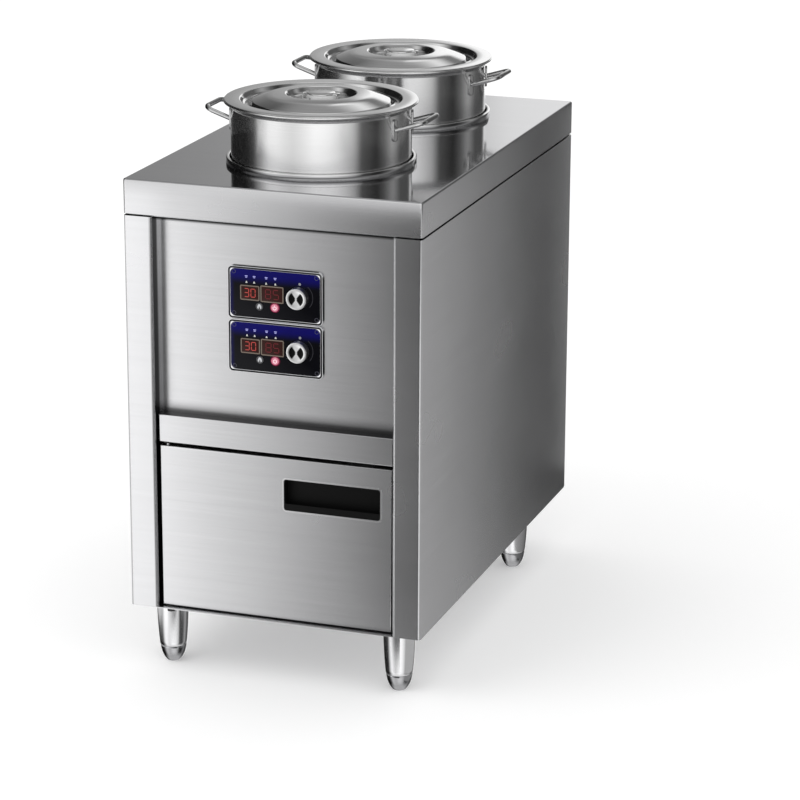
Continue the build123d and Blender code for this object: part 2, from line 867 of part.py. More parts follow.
def fan_frame(x):
    """Square frame with four struts and the pin that carries the rotor."""
    low, high = back_panel_inner - fan_depth, back_panel_inner
    half = fan_size / 2
    frame = block((x - half, x + half), (low, high), (fan_z - half, fan_z + half))
    frame -= rod_along_y(fan_bore_radius, low - 1, high + 1, x, fan_z)
    strut_y = (high - fan_depth / 5, high)
    for turn in range(4):
        strut = block((fan_hub_radius - 2, half - 1), strut_y, (-2, 2))
        frame += Pos(x, 0, fan_z) * Rot(0, 45 + 90 * turn, 0) * strut
    frame += rod_along_y(fan_hub_radius, *strut_y, x, fan_z)
    return frame + rod_along_y(fan_pin_radius, low + fan_depth / 5, strut_y[0], x, fan_z)


def fan_rotor(x):
    low = back_panel_inner - fan_depth + 1
    high = back_panel_inner - fan_depth / 5 - 1
    rotor = rod_along_y(fan_hub_radius, low, high, x, fan_z)
    blade_length = fan_bore_radius - fan_blade_clearance - fan_hub_radius + 2
    middle = fan_hub_radius - 2 + blade_length / 2
    for index in range(fan_blade_count):
        blade = Pos(middle, 0, 0) * Rot(40, 0, 0) * Box(blade_length, 1.4, high - low)
        place = Pos(x, (low + high) / 2, fan_z) * Rot(0, index * 360 / fan_blade_count, 0)
        rotor += place * blade
    return rotor - rod_along_y(fan_pin_radius + shaft_clearance,
                               back_panel_inner - fan_depth + 4, high + 1, x, fan_z)


def cable_gland():
    hexagon = extrude(RegularPolygon(gland_hex_radius, 6), amount=-8)
    gland = Pos(gland_x, gland_y, leg_height) * hexagon
    dome = Cone(gland_hex_radius * 0.85, cable_bore_radius + 3, gland_drop - 8)
    gland += Pos(gland_x, gland_y, leg_height - 8 - (gland_drop - 8) / 2) * Rot(180, 0, 0) * dome
    gland += disc(gland_hole_radius, leg_height - 1, floor_top + 9, gland_x, gland_y)
    nut = extrude(RegularPolygon(gland_hex_radius, 6), amount=6)
    gland += Pos(gland_x, gland_y, floor_top) * nut
    return gland - disc(cable_bore_radius, leg_height - 40, floor_top + 40, gland_x, gland_y)


def terminal_block():
    half = terminal_length / 2
    piece = block((gland_x - half, gland_x + half),
                  (back_panel_inner - terminal_depth, back_panel_inner),
                  (terminal_z, terminal_z + terminal_height))
    pitch = terminal_length / 5
    for index in range(5):
        x = gland_x + (index - 2) * pitch
        piece -= rod_along_y(pitch / 4, back_panel_inner - terminal_depth - 1,
                             back_panel_inner - terminal_depth / 2, x,
                             terminal_z + terminal_height / 2)
    return piece


# Legs and feet, drawn with the leg's axis on Z

def leg_sleeve():
    top, low = leg_height, foot_height + foot_gap
    middle = (top + low) / 2
    bulge = (leg_top_radius + leg_bottom_radius) / 2 + 0.9
    bore = foot_stem_radius + foot_stem_clearance
    bore_top = low + foot_stem_length + 5
    outline = Polyline((0, bore_top), (0, top), (leg_top_radius, top))
    outline += ThreePointArc((leg_top_radius, top), (bulge, middle), (leg_bottom_radius, low))
    outline += Polyline((leg_bottom_radius, low), (bore, low), (bore, bore_top), (0, bore_top))
    stud = disc(stud_radius, top - 1, top + stud_length)
    return turned(outline) + stud


def bullet_foot():
    middle_radius = (foot_shoulder_radius + foot_flat_radius) / 2 + 2.0
    outline = Polyline((0, foot_height), (foot_shoulder_radius - 1, foot_height),
                       (foot_shoulder_radius, foot_height - 1))
    outline += ThreePointArc((foot_shoulder_radius, foot_height - 1),
                             (middle_radius, foot_height * 0.42), (foot_flat_radius, 0))
    outline += Polyline((foot_flat_radius, 0), (0, 0), (0, foot_height))
    return turned(outline) + disc(foot_stem_radius, foot_height - 1,
                                  foot_height + foot_stem_length)


def legs_and_feet():
    nuts = []
    for name, (x, y) in leg_places.items():
        save(f"{name}_leg", Pos(x, y, 0) * leg_sleeve())
        save(f"{name}_foot", Pos(x, y, 0) * bullet_foot())
        nut = extrude(RegularPolygon(nut_across_corners, 6), amount=nut_height)
        nut -= disc(stud_radius + pin_clearance, -1, nut_height + 1)
        nuts.append(Pos(x, y, floor_top) * nut)
    save("leg_nuts", *nuts)


def panel_screw(x, z):
    head = rod_along_y(screw_head_radius, panel_back, panel_back + screw_head_height, x, z)
    head = fillet(head.faces().sort_by(Axis.Y)[-1].edges(), screw_head_height / 3)
    return head + rod_along_y(screw_shank_radius, panel_back - screw_length, panel_back + 1,
                              x, z)


# Write every sub-part

save("worktop", worktop())
underframe()
save("right_side_panel", side_panel())
save("left_side_panel", mirror(side_panel(), about=Plane.YZ))
save("back_panel", back_panel())
save("bottom_panel", bottom_panel())
save("divider_shelf", divider_shelf())
save("mid_rail", mid_rail())
save("control_fascia", control_fascia())
save("door_skin", door_skin())
save("door_liner", door_liner())
save("door_pull", door_pull())
save("door_pull_trim", door_pull_trim())
save("door_hinge_pins", hinge_pin(door_bottom, -1), hinge_pin(door_top, 1))
save("door_hinge_bushes", hinge_bush(floor_top, -1), hinge_bush(rail_bottom, 1))
save("door_magnet_catch", magnet_catch())
wells()
for name, y in pot_places.items():
    place = Pos(0, y, rim_z)
    save(f"{name}_pot", place * pot())
    right_handle = pot_handle()
    save(f"{name}_pot_handles", place * right_handle, place * Rot(0, 0, 180) * right_handle)
    save(f"{name}_lid", place * lid())
    save(f"{name}_lid_handle", place * lid_handle())
control_modules()
save("power_units", power_unit(front + power_unit_from_front),
     power_unit(back - power_unit_from_back))
save("fan_frames", fan_frame(-fan_x), fan_frame(fan_x))
save("left_fan_rotor", fan_rotor(-fan_x))
save("right_fan_rotor", fan_rotor(fan_x))
save("cable_gland", cable_gland())
save("terminal_block", terminal_block())
legs_and_feet()
save("back_panel_screws", *[panel_screw(x, z) for x, z in screw_places])
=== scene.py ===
import math

import bmesh
import bpy
from mathutils import Matrix, Vector


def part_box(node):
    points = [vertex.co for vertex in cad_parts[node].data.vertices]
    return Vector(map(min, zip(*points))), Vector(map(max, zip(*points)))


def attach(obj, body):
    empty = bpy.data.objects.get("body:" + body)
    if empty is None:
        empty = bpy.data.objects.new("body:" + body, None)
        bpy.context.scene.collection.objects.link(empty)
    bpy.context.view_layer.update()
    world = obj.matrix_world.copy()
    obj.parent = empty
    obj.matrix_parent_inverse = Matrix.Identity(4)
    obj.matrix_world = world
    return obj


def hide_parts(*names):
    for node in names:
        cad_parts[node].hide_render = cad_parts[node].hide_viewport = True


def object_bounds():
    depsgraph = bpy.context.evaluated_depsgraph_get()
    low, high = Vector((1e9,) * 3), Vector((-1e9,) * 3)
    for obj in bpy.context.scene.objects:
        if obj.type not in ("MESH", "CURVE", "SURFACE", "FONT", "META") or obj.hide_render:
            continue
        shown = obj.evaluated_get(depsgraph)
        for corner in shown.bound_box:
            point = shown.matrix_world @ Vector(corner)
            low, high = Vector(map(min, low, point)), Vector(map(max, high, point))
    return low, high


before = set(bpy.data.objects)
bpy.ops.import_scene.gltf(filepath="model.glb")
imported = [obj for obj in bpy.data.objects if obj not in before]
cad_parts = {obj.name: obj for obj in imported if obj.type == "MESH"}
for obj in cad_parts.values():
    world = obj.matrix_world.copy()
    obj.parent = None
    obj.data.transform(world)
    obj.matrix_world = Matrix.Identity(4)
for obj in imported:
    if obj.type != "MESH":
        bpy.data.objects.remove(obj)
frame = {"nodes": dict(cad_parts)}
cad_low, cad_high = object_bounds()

bl_info = {
    "name": "Soup station",
    "version": (1, 0, 0),
    "blender": (4, 5, 0),
    "location": "View3D > Sidebar > Soup station",
    "description": "Dresses the soup station: steel cabinet, pots, lids, controls and legs",
    "category": "Object",
}

MM = 0.001
ROWS = ("front", "rear")
CORNERS = ("front_left", "front_right", "rear_left", "rear_right")
MODULES = ("upper", "lower")


def middle(node):
    """The middle of a CAD node's box."""
    low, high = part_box(node)
    return (low + high) / 2


def reach(node):
    """The lengths of a CAD node's box along X, Y and Z."""
    low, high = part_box(node)
    return high - low


# Settings that a user would change

class SteelSettings(bpy.types.PropertyGroup):
    """Colours and finishes of the steel."""
    panel_color: bpy.props.FloatVectorProperty(
        name="Panel colour", description="Brushed cabinet panels", subtype="COLOR",
        default=(0.66, 0.66, 0.67), min=0.0, max=1.0)
    worktop_color: bpy.props.FloatVectorProperty(
        name="Worktop colour", description="Satin worktop sheet", subtype="COLOR",
        default=(0.50, 0.50, 0.51), min=0.0, max=1.0)
    pot_color: bpy.props.FloatVectorProperty(
        name="Pot colour", description="Polished pots and lids", subtype="COLOR",
        default=(0.80, 0.80, 0.80), min=0.0, max=1.0)
    leg_color: bpy.props.FloatVectorProperty(
        name="Leg colour", description="Polished leg sleeves", subtype="COLOR",
        default=(0.80, 0.80, 0.81), min=0.0, max=1.0)
    panel_roughness: bpy.props.FloatProperty(
        name="Panel roughness", description="Mean roughness of the brushed panels",
        subtype="FACTOR", default=0.26, min=0.0, max=1.0)
    worktop_roughness: bpy.props.FloatProperty(
        name="Worktop roughness", description="Mean roughness of the worktop",
        subtype="FACTOR", default=0.085, min=0.0, max=1.0)
    pot_roughness: bpy.props.FloatProperty(
        name="Pot roughness", description="Mean roughness of the pots",
        subtype="FACTOR", default=0.20, min=0.0, max=1.0)


class PotSettings(bpy.types.PropertyGroup):
    """Sizes of the pots and their lids."""
    radius: bpy.props.FloatProperty(
        name="Wall radius", description="Outer radius of the pot's wall",
        unit="LENGTH", default=140.4 * MM)
    wall: bpy.props.FloatProperty(
        name="Wall", description="Thickness of the pot's sheet", unit="LENGTH", default=1.0 * MM)
    base: bpy.props.FloatProperty(
        name="Base", description="Thickness of the pot's base", unit="LENGTH", default=6.0 * MM)
    base_inset: bpy.props.FloatProperty(
        name="Base inset", description="How far the base stays inside the wall",
        unit="LENGTH", default=6.0 * MM)
    flare_height: bpy.props.FloatProperty(
        name="Flare height", description="Height of the flared rim", unit="LENGTH",
        default=10.0 * MM)
    roll: bpy.props.FloatProperty(
        name="Rolled edge", description="Radius of the rim's rolled edge", unit="LENGTH",
        default=1.6 * MM)
    lid_sheet: bpy.props.FloatProperty(
        name="Lid sheet", description="Thickness of the lid's sheet", unit="LENGTH",
        default=0.8 * MM)
    rod: bpy.props.FloatProperty(
        name="Handle rod", description="Radius of the handle's bent rod", unit="LENGTH",
        default=3.8 * MM)
    strap: bpy.props.FloatProperty(
        name="Lid strap", description="Thickness of the lid handle's strap", unit="LENGTH",
        default=2.4 * MM)
    segments: bpy.props.IntProperty(
        name="Segments", description="Flats round a pot or a lid", default=160, min=24)


class ControlSettings(bpy.types.PropertyGroup):
    """Colours and sizes of the control modules."""
    face_color: bpy.props.FloatVectorProperty(
        name="Face colour", description="Glossy module face", subtype="COLOR",
        default=(0.003, 0.003, 0.005), min=0.0, max=1.0)
    band_color: bpy.props.FloatVectorProperty(
        name="Band colour", description="Blue printed band along the face's top",
        subtype="COLOR", default=(0.004, 0.003, 0.11), min=0.0, max=1.0)
    digit_color: bpy.props.FloatVectorProperty(
        name="Digit colour", description="Lit display digits", subtype="COLOR",
        default=(0.42, 0.06, 0.05), min=0.0, max=1.0)
    lit_key_color: bpy.props.FloatVectorProperty(
        name="Lit key colour", description="Glowing power key", subtype="COLOR",
        default=(0.55, 0.17, 0.24), min=0.0, max=1.0)
    flutes: bpy.props.IntProperty(
        name="Flutes", description="Flutes round a dial knob", default=40, min=8)


class StageSettings(bpy.types.PropertyGroup):
    """Camera and light."""
    yaw: bpy.props.FloatProperty(
        name="Yaw", description="How far the camera stands to the right", subtype="ANGLE",
        default=math.radians(18.860))
    pitch: bpy.props.FloatProperty(
        name="Pitch", description="How far the camera looks down", subtype="ANGLE",
        default=math.radians(16.803))
    roll: bpy.props.FloatProperty(
        name="Roll", description="Turn of the camera about its view", subtype="ANGLE",
        default=math.radians(0.233))
    target: bpy.props.FloatVectorProperty(
        name="Target", description="Point at the middle of the picture", subtype="XYZ",
        unit="LENGTH", default=(69.5 * MM, 0.0, 357.0 * MM))
    distance: bpy.props.FloatProperty(
        name="Distance", description="From the camera to the target", unit="LENGTH",
        default=5.2235)
    lens: bpy.props.FloatProperty(
        name="Lens", description="Focal length on a 36 mm sensor", default=143.57)
    sky: bpy.props.FloatProperty(
        name="Soft light", description="Strength of the even studio light", default=0.92)
    key: bpy.props.FloatProperty(
        name="Key light", description="Power of the large soft lamp", default=18.0)


# Outlines and paths

def rounded(points, radii, steps=6):
    """Points in a row, with each inner corner turned into an arc of its radius."""
    points = [Vector(point).to_3d() for point in points]
    path = [points[0]]
    for before, corner, after, radius in zip(points, points[1:], points[2:], radii):
        back = (before - corner).normalized()
        ahead = (after - corner).normalized()
        half = back.angle(ahead) / 2
        if radius <= 0 or half > math.radians(89.5):
            path.append(corner)
            continue
        centre = corner + (back + ahead).normalized() * radius / math.sin(half)
        start = corner + back * radius / math.tan(half) - centre
        end = corner + ahead * radius / math.tan(half) - centre
        turn = start.angle(end)
        for step in range(steps + 1):
            share = step / steps
            path.append(centre + (start * math.sin((1 - share) * turn)
                                  + end * math.sin(share * turn)) / math.sin(turn))
    path.append(points[-1])
    return path


def arc(centre, radius, start, end, steps=12):
    """Points on a circle in the outline's plane, between two angles in degrees."""
    angles = [math.radians(start + (end - start) * step / steps) for step in range(steps + 1)]
    return [Vector((centre[0] + radius * math.cos(a), centre[1] + radius * math.sin(a), 0))
            for a in angles]


def thick(path, half):
    """A closed outline that follows a path at half a thickness on both sides."""
    left, right = [], []
    for index, point in enumerate(path):
        before = path[max(index - 1, 0)]
        after = path[min(index + 1, len(path) - 1)]
        along = (after - before).normalized()
        across = Vector((-along.y, along.x, 0)) * half
        left.append(point + across)
        right.append(point - across)
    return left + right[::-1]


# Geometry node trees

def new_tree(name, inputs):
    """A node tree with named inputs and one geometry output."""
    tree = bpy.data.node_groups.new(name, "GeometryNodeTree")
    for title, kind, value in inputs:
        socket = tree.interface.new_socket(title, in_out="INPUT", socket_type=kind)
        if value is not None:
            socket.default_value = value
    tree.interface.new_socket("Geometry", in_out="OUTPUT", socket_type="NodeSocketGeometry")
    return tree, tree.nodes.new("NodeGroupInput"), tree.nodes.new("NodeGroupOutput")


def node(tree, kind, links=(), **settings):
    """A node with its settings and its inputs, each a value or another node's output."""
    made = tree.nodes.new(kind)
    for name, value in settings.items():
        setattr(made, name, value)
    for socket, value in dict(links).items():
        if isinstance(value, bpy.types.NodeSocket):
            tree.links.new(value, made.inputs[socket])
        else:
            made.inputs[socket].default_value = value
    return made


def close_tree(tree, output, geometry, material):
    """Ends a tree in Realize Instances, smooth shading and Set Material."""
    real = node(tree, "GeometryNodeRealizeInstances", {"Geometry": geometry})
    smooth = node(tree, "GeometryNodeSetShadeSmooth", {"Geometry": real.outputs["Geometry"]})
    painted = node(tree, "GeometryNodeSetMaterial",
                   {"Geometry": smooth.outputs["Geometry"], "Material": material})
    tree.links.new(painted.outputs["Geometry"], output.inputs["Geometry"])


def turned_tree():
    """An outline, drawn as radius and height, swept round the upright axis."""
    tree, given, output = new_tree("Turned piece", (
        ("Outline", "NodeSocketObject", None),
        ("Segments", "NodeSocketInt", 96),
        ("Core", "NodeSocketFloat", 1.0),
        ("Material", "NodeSocketMaterial", None),
    ))
    outline = node(tree, "GeometryNodeObjectInfo", {"Object": given.outputs["Outline"]})
    ring = node(tree, "GeometryNodeCurvePrimitiveCircle",
                {"Resolution": given.outputs["Segments"], "Radius": given.outputs["Core"]})
    swept = node(tree, "GeometryNodeCurveToMesh",
                 {"Curve": ring.outputs["Curve"],
                  "Profile Curve": outline.outputs["Geometry"]})
    merged = node(tree, "GeometryNodeMergeByDistance",
                  {"Geometry": swept.outputs["Mesh"], "Distance": 2e-6})
    close_tree(tree, output, merged.outputs["Geometry"], given.outputs["Material"])
    return tree


def tube_tree():
    """A round rod along a path."""
    tree, given, output = new_tree("Bent rod", (
        ("Path", "NodeSocketObject", None),
        ("Radius", "NodeSocketFloat", 0.004),
        ("Sides", "NodeSocketInt", 24),
        ("Material", "NodeSocketMaterial", None),
    ))
    path = node(tree, "GeometryNodeObjectInfo", {"Object": given.outputs["Path"]})
    section = node(tree, "GeometryNodeCurvePrimitiveCircle",
                   {"Resolution": given.outputs["Sides"], "Radius": given.outputs["Radius"]})
    swept = node(tree, "GeometryNodeCurveToMesh",
                 {"Curve": path.outputs["Geometry"], "Profile Curve": section.outputs["Curve"],
                  "Fill Caps": True})
    close_tree(tree, output, swept.outputs["Mesh"], given.outputs["Material"])
    return tree


def grid_tree():
    """Copies of a piece in columns along X and rows along Z."""
    tree, given, output = new_tree("Copies in rows", (
        ("Piece", "NodeSocketObject", None),
        ("Columns", "NodeSocketInt", 2),
        ("Rows", "NodeSocketInt", 2),
        ("Width", "NodeSocketFloat", 1.0),
        ("Height", "NodeSocketFloat", 1.0),
        ("Middle", "NodeSocketVector", None),
        ("Material", "NodeSocketMaterial", None),
    ))
    places = node(tree, "GeometryNodeMeshGrid",
                  {"Size X": given.outputs["Width"], "Size Y": given.outputs["Height"],
                   "Vertices X": given.outputs["Columns"], "Vertices Y": given.outputs["Rows"]})
    upright = node(tree, "GeometryNodeTransform",
                   {"Geometry": places.outputs["Mesh"], "Rotation": (math.pi / 2, 0, 0),
                    "Translation": given.outputs["Middle"]})
    piece = node(tree, "GeometryNodeObjectInfo", {"Object": given.outputs["Piece"]})
    copies = node(tree, "GeometryNodeInstanceOnPoints",
                  {"Points": upright.outputs["Geometry"],
                   "Instance": piece.outputs["Geometry"]})
    close_tree(tree, output, copies.outputs["Instances"], given.outputs["Material"])
    return tree


_trees = {}


def shared_tree(maker):
    """Each tree is built once."""
    if maker not in _trees:
        _trees[maker] = maker()
    return _trees[maker]


def grown(name, maker, values):
    """A plain mesh object made by a node tree."""
    tree = shared_tree(maker)
    piece = bpy.data.objects.new(name, bpy.data.meshes.new(name))
    bpy.context.scene.collection.objects.link(piece)
    modifier = piece.modifiers.new(tree.name, "NODES")
    modifier.node_group = tree
    for item in tree.interface.items_tree:
        if item.in_out == "INPUT" and item.name in values:
            modifier[item.identifier] = values[item.name]
    bpy.context.view_layer.update()
    graph = bpy.context.evaluated_depsgraph_get()
    mesh = bpy.data.meshes.new_from_object(piece.evaluated_get(graph), depsgraph=graph)
    piece.modifiers.clear()
    piece.data = mesh
    mesh.name = name
    return piece


def drawn_curve(points, closed):
    """A helper curve of straight runs."""
    data = bpy.data.curves.new("outline", "CURVE")
    data.dimensions = "3D"
    spline = data.splines.new("POLY")
    spline.points.add(len(points) - 1)
    for point, place in zip(spline.points, points):
        point.co = (*place, 1.0)
    spline.use_cyclic_u = closed
    curve = bpy.data.objects.new("outline", data)
    bpy.context.scene.collection.objects.link(curve)
    return curve


def turned(name, outline, material, segments, closed=True):
    """A round piece on the Z axis from its outline, drawn as radius and height."""
    core = 1.0
    points = [Vector((point[0] - core, -point[1], 0)) for point in outline]
    curve = drawn_curve(points, closed)
    piece = grown(name, turned_tree, {"Outline": curve, "Segments": segments, "Core": core,
                                      "Material": material})
    bpy.data.objects.remove(curve)
    face_out(piece)
    return piece


def rod(name, path, radius, material):
    """A bent rod along a path."""
    curve = drawn_curve(path, False)
    piece = grown(name, tube_tree, {"Path": curve, "Radius": radius, "Material": material})
    bpy.data.objects.remove(curve)
    face_out(piece)
    return piece


# Meshes

def face_out(piece):
    """Merges doubles and turns every face outwards."""
    mesh = bmesh.new()
    mesh.from_mesh(piece.data)
    bmesh.ops.remove_doubles(mesh, verts=mesh.verts, dist=1e-6)
    bmesh.ops.recalc_face_normals(mesh, faces=mesh.faces)
    mesh.to_mesh(piece.data)
    mesh.free()


def moved(piece, matrix):
    """Puts a piece's place into its mesh."""
    piece.data.transform(matrix)
    return piece


def joined(name, pieces):
    """Several objects as one."""
    mesh = bmesh.new()
    materials = []
    for piece in pieces:
        offset = len(materials)
        materials += piece.data.materials[:]
        part = bmesh.new()
        part.from_mesh(piece.data)
        for face in part.faces:
            face.material_index += offset
        part.to_mesh(piece.data)
        part.free()
        mesh.from_mesh(piece.data)
    whole = bpy.data.objects.new(name, bpy.data.meshes.new(name))
    mesh.to_mesh(whole.data)
    mesh.free()
    for material in materials:
        whole.data.materials.append(material)
    bpy.context.scene.collection.objects.link(whole)
    for piece in pieces:
        bpy.data.objects.remove(piece)
    return whole


def plate(name, outline, thickness, material):
    """A flat piece from a closed outline in X and Z; it grows from y = 0 towards the front."""
    mesh = bmesh.new()
    back = [mesh.verts.new((point[0], 0, point[1])) for point in outline]
    front = [mesh.verts.new((point[0], -thickness, point[1])) for point in outline]
    mesh.faces.new(back)
    mesh.faces.new(front[::-1])
    for index in range(len(outline)):
        after = (index + 1) % len(outline)
        mesh.faces.new((back[index], front[index], front[after], back[after]))
    bmesh.ops.recalc_face_normals(mesh, faces=mesh.faces)
    piece = bpy.data.objects.new(name, bpy.data.meshes.new(name))
    mesh.to_mesh(piece.data)
    mesh.free()
    piece.data.materials.append(material)
    bpy.context.scene.collection.objects.link(piece)
    return piece


def softened(piece, width, segments=2, angle=28.0):
    """Smooth shading, with the sharp edges broken by a small bevel and flat faces kept flat."""
    piece.data.polygons.foreach_set("use_smooth", [True] * len(piece.data.polygons))
    bevel = piece.modifiers.new("Broken edges", "BEVEL")
    bevel.width = width
    bevel.segments = segments
    bevel.limit_method = "ANGLE"
    bevel.angle_limit = math.radians(angle)
    flat = piece.modifiers.new("Flat faces", "WEIGHTED_NORMAL")
    flat.mode = "FACE_AREA"
    flat.weight = 100
    return piece


def dressed_copy(name, material, *nodes, edge=0.3 * MM):
    """CAD nodes copied into one piece, with clean faces and softened edges."""
    mesh = bmesh.new()
    for source in nodes:
        mesh.from_mesh(frame["nodes"][source].data)
    bmesh.ops.remove_doubles(mesh, verts=mesh.verts, dist=1e-6)
    bmesh.ops.dissolve_limit(mesh, angle_limit=math.radians(0.3), verts=mesh.verts,
                             edges=mesh.edges, use_dissolve_boundaries=False)
    for face in mesh.faces:
        face.material_index = 0
    piece = bpy.data.objects.new(name, bpy.data.meshes.new(name))
    mesh.to_mesh(piece.data)
    mesh.free()
    piece.data.materials.append(material)
    bpy.context.scene.collection.objects.link(piece)
    softened(piece, edge)
    return piece


def faced(piece, material, belongs):
    """Gives the faces that belong to it another material."""
    piece.data.materials.append(material)
    for face in piece.data.polygons:
        if belongs(face):
            face.material_index = 1
    return piece


def placed(piece, body, slot, *nodes):
    """Hangs a finished piece on the empty of the body that it rides on, and hides the CAD nodes that it
    stands for. The slot argument is not used.
    """
    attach(piece, body)
    if nodes:
        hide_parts(*nodes)
    return piece


# Shader groups that several finishes share

def shader_group(name, inputs, outputs):
    """A shader group with named inputs and outputs."""
    group = bpy.data.node_groups.new(name, "ShaderNodeTree")
    for title, kind, value in inputs:
        socket = group.interface.new_socket(title, in_out="INPUT", socket_type=kind)
        if value is not None:
            socket.default_value = value
    for title, kind in outputs:
        group.interface.new_socket(title, in_out="OUTPUT", socket_type=kind)
    return group, group.nodes.new("NodeGroupInput"), group.nodes.new("NodeGroupOutput")


def sum_up(tree, kind, first, second, third=None):
    """One Math node's result."""
    values = {0: first, 1: second}
    if third is not None:
        values[2] = third
    return node(tree, "ShaderNodeMath", values, operation=kind).outputs[0]


def noise(tree, place, scale, detail=2.0, roughness=0.5):
    """A noise texture's value, which is about 0.5 on average."""
    return node(tree, "ShaderNodeTexNoise",
                {"Vector": place, "Scale": scale, "Detail": detail,
                 "Roughness": roughness}).outputs["Fac"]


def grain_group():
    """Fine level scratches: along X on flat sheet, and level on upright sheet."""
    group, given, output = shader_group("Brushed grain", (
        ("Place", "NodeSocketVector", None),
        ("Facing", "NodeSocketVector", None),
        ("Fineness", "NodeSocketFloat", 900.0),
        ("Contrast", "NodeSocketFloat", 0.15),
    ), (("Tone", "NodeSocketFloat"), ("Height", "NodeSocketFloat")))
    place = node(group, "ShaderNodeSeparateXYZ", {0: given.outputs["Place"]})
    facing = node(group, "ShaderNodeSeparateXYZ", {0: given.outputs["Facing"]})
    flat = sum_up(group, "GREATER_THAN",
                  sum_up(group, "ABSOLUTE", facing.outputs["Z"], 0.0), 0.7)
    across = node(group, "ShaderNodeMix", {0: flat, 2: place.outputs["Z"],
                                           3: place.outputs["Y"]}).outputs[0]
    along = node(group, "ShaderNodeMix", {0: flat, 2: place.outputs["Y"],
                                          3: place.outputs["Z"]}).outputs[0]
    fine = node(group, "ShaderNodeCombineXYZ", {
        "X": sum_up(group, "MULTIPLY", place.outputs["X"], 5.0),
        "Y": sum_up(group, "MULTIPLY", along, 5.0),
        "Z": sum_up(group, "MULTIPLY", across, given.outputs["Fineness"])}).outputs[0]
    scratches = noise(group, fine, 1.0, 3.0, 0.6)
    broad = node(group, "ShaderNodeVectorMath", {0: fine, 1: (0.4, 0.4, 0.12)},
                 operation="MULTIPLY").outputs[0]
    strokes = noise(group, broad, 1.0, 2.0)
    both = sum_up(group, "ADD", sum_up(group, "MULTIPLY", scratches, 0.65),
                  sum_up(group, "MULTIPLY", strokes, 0.35))
    centred = sum_up(group, "SUBTRACT", both, 0.5)
    tone = sum_up(group, "MULTIPLY_ADD", centred,
                  sum_up(group, "MULTIPLY", given.outputs["Contrast"], 2.0), 1.0)
    group.links.new(tone, output.inputs["Tone"])
    group.links.new(both, output.inputs["Height"])
    return group


def spun_group():
    """Rings left by spinning and polishing round an upright axis."""
    group, given, output = shader_group("Spun rings", (
        ("Place", "NodeSocketVector", None),
        ("Axis", "NodeSocketVector", None),
        ("Fineness", "NodeSocketFloat", 900.0),
        ("Contrast", "NodeSocketFloat", 0.15),
    ), (("Tone", "NodeSocketFloat"), ("Height", "NodeSocketFloat")))
    centred = node(group, "ShaderNodeVectorMath",
                   {0: given.outputs["Place"], 1: given.outputs["Axis"]},
                   operation="SUBTRACT").outputs[0]
    place = node(group, "ShaderNodeSeparateXYZ", {0: centred})
    flat = node(group, "ShaderNodeVectorMath", {0: centred, 1: (1, 1, 0)},
                operation="MULTIPLY").outputs[0]
    radius = node(group, "ShaderNodeVectorMath", {0: flat}, operation="LENGTH").outputs["Value"]
    turn = node(group, "ShaderNodeVectorMath", {0: flat}, operation="NORMALIZE").outputs[0]
    around = node(group, "ShaderNodeSeparateXYZ", {0: turn})
    steps = sum_up(group, "ADD", radius, place.outputs["Z"])
    rings = node(group, "ShaderNodeCombineXYZ", {
        "X": sum_up(group, "MULTIPLY", around.outputs["X"], 1.5),
        "Y": sum_up(group, "MULTIPLY", around.outputs["Y"], 1.5),
        "Z": sum_up(group, "MULTIPLY", steps, given.outputs["Fineness"])}).outputs[0]
    marks = noise(group, rings, 1.0, 3.0, 0.6)
    tone = sum_up(group, "MULTIPLY_ADD", sum_up(group, "SUBTRACT", marks, 0.5),
                  sum_up(group, "MULTIPLY", given.outputs["Contrast"], 2.0), 1.0)
    group.links.new(tone, output.inputs["Tone"])
    group.links.new(marks, output.inputs["Height"])
    return group


def handling_group():
    """Soft cloudy patches where a surface was wiped and handled."""
    group, given, output = shader_group("Handling marks", (
        ("Place", "NodeSocketVector", None),
        ("Size", "NodeSocketFloat", 0.12),
        ("Amount", "NodeSocketFloat", 0.1),
    ), (("Tone", "NodeSocketFloat"), ("Change", "NodeSocketFloat")))
    scale = sum_up(group, "DIVIDE", 1.0, given.outputs["Size"])
    clouds = noise(group, given.outputs["Place"], scale, 3.0, 0.55)
    change = sum_up(group, "MULTIPLY", sum_up(group, "SUBTRACT", clouds, 0.5),
                    sum_up(group, "MULTIPLY", given.outputs["Amount"], 2.0))
    group.links.new(sum_up(group, "ADD", change, 1.0), output.inputs["Tone"])
    group.links.new(change, output.inputs["Change"])
    return group


def moulded_group():
    """The fine pebbled skin of a moulding or a casting."""
    group, given, output = shader_group("Moulded skin", (
        ("Place", "NodeSocketVector", None),
        ("Pebble", "NodeSocketFloat", 0.0006),
        ("Contrast", "NodeSocketFloat", 0.2),
    ), (("Tone", "NodeSocketFloat"), ("Height", "NodeSocketFloat")))
    scale = sum_up(group, "DIVIDE", 1.0, given.outputs["Pebble"])
    pebbles = noise(group, given.outputs["Place"], scale, 2.0)
    clouds = noise(group, given.outputs["Place"], 25.0, 2.0)
    both = sum_up(group, "ADD", sum_up(group, "MULTIPLY", pebbles, 0.6),
                  sum_up(group, "MULTIPLY", clouds, 0.4))
    tone = sum_up(group, "MULTIPLY_ADD", sum_up(group, "SUBTRACT", both, 0.5),
                  sum_up(group, "MULTIPLY", given.outputs["Contrast"], 2.0), 1.0)
    group.links.new(tone, output.inputs["Tone"])
    group.links.new(pebbles, output.inputs["Height"])
    return group


_groups = {}


def shared_group(maker):
    """Each shader group is built once."""
    if maker not in _groups:
        _groups[maker] = maker()
    return _groups[maker]


# Finishes

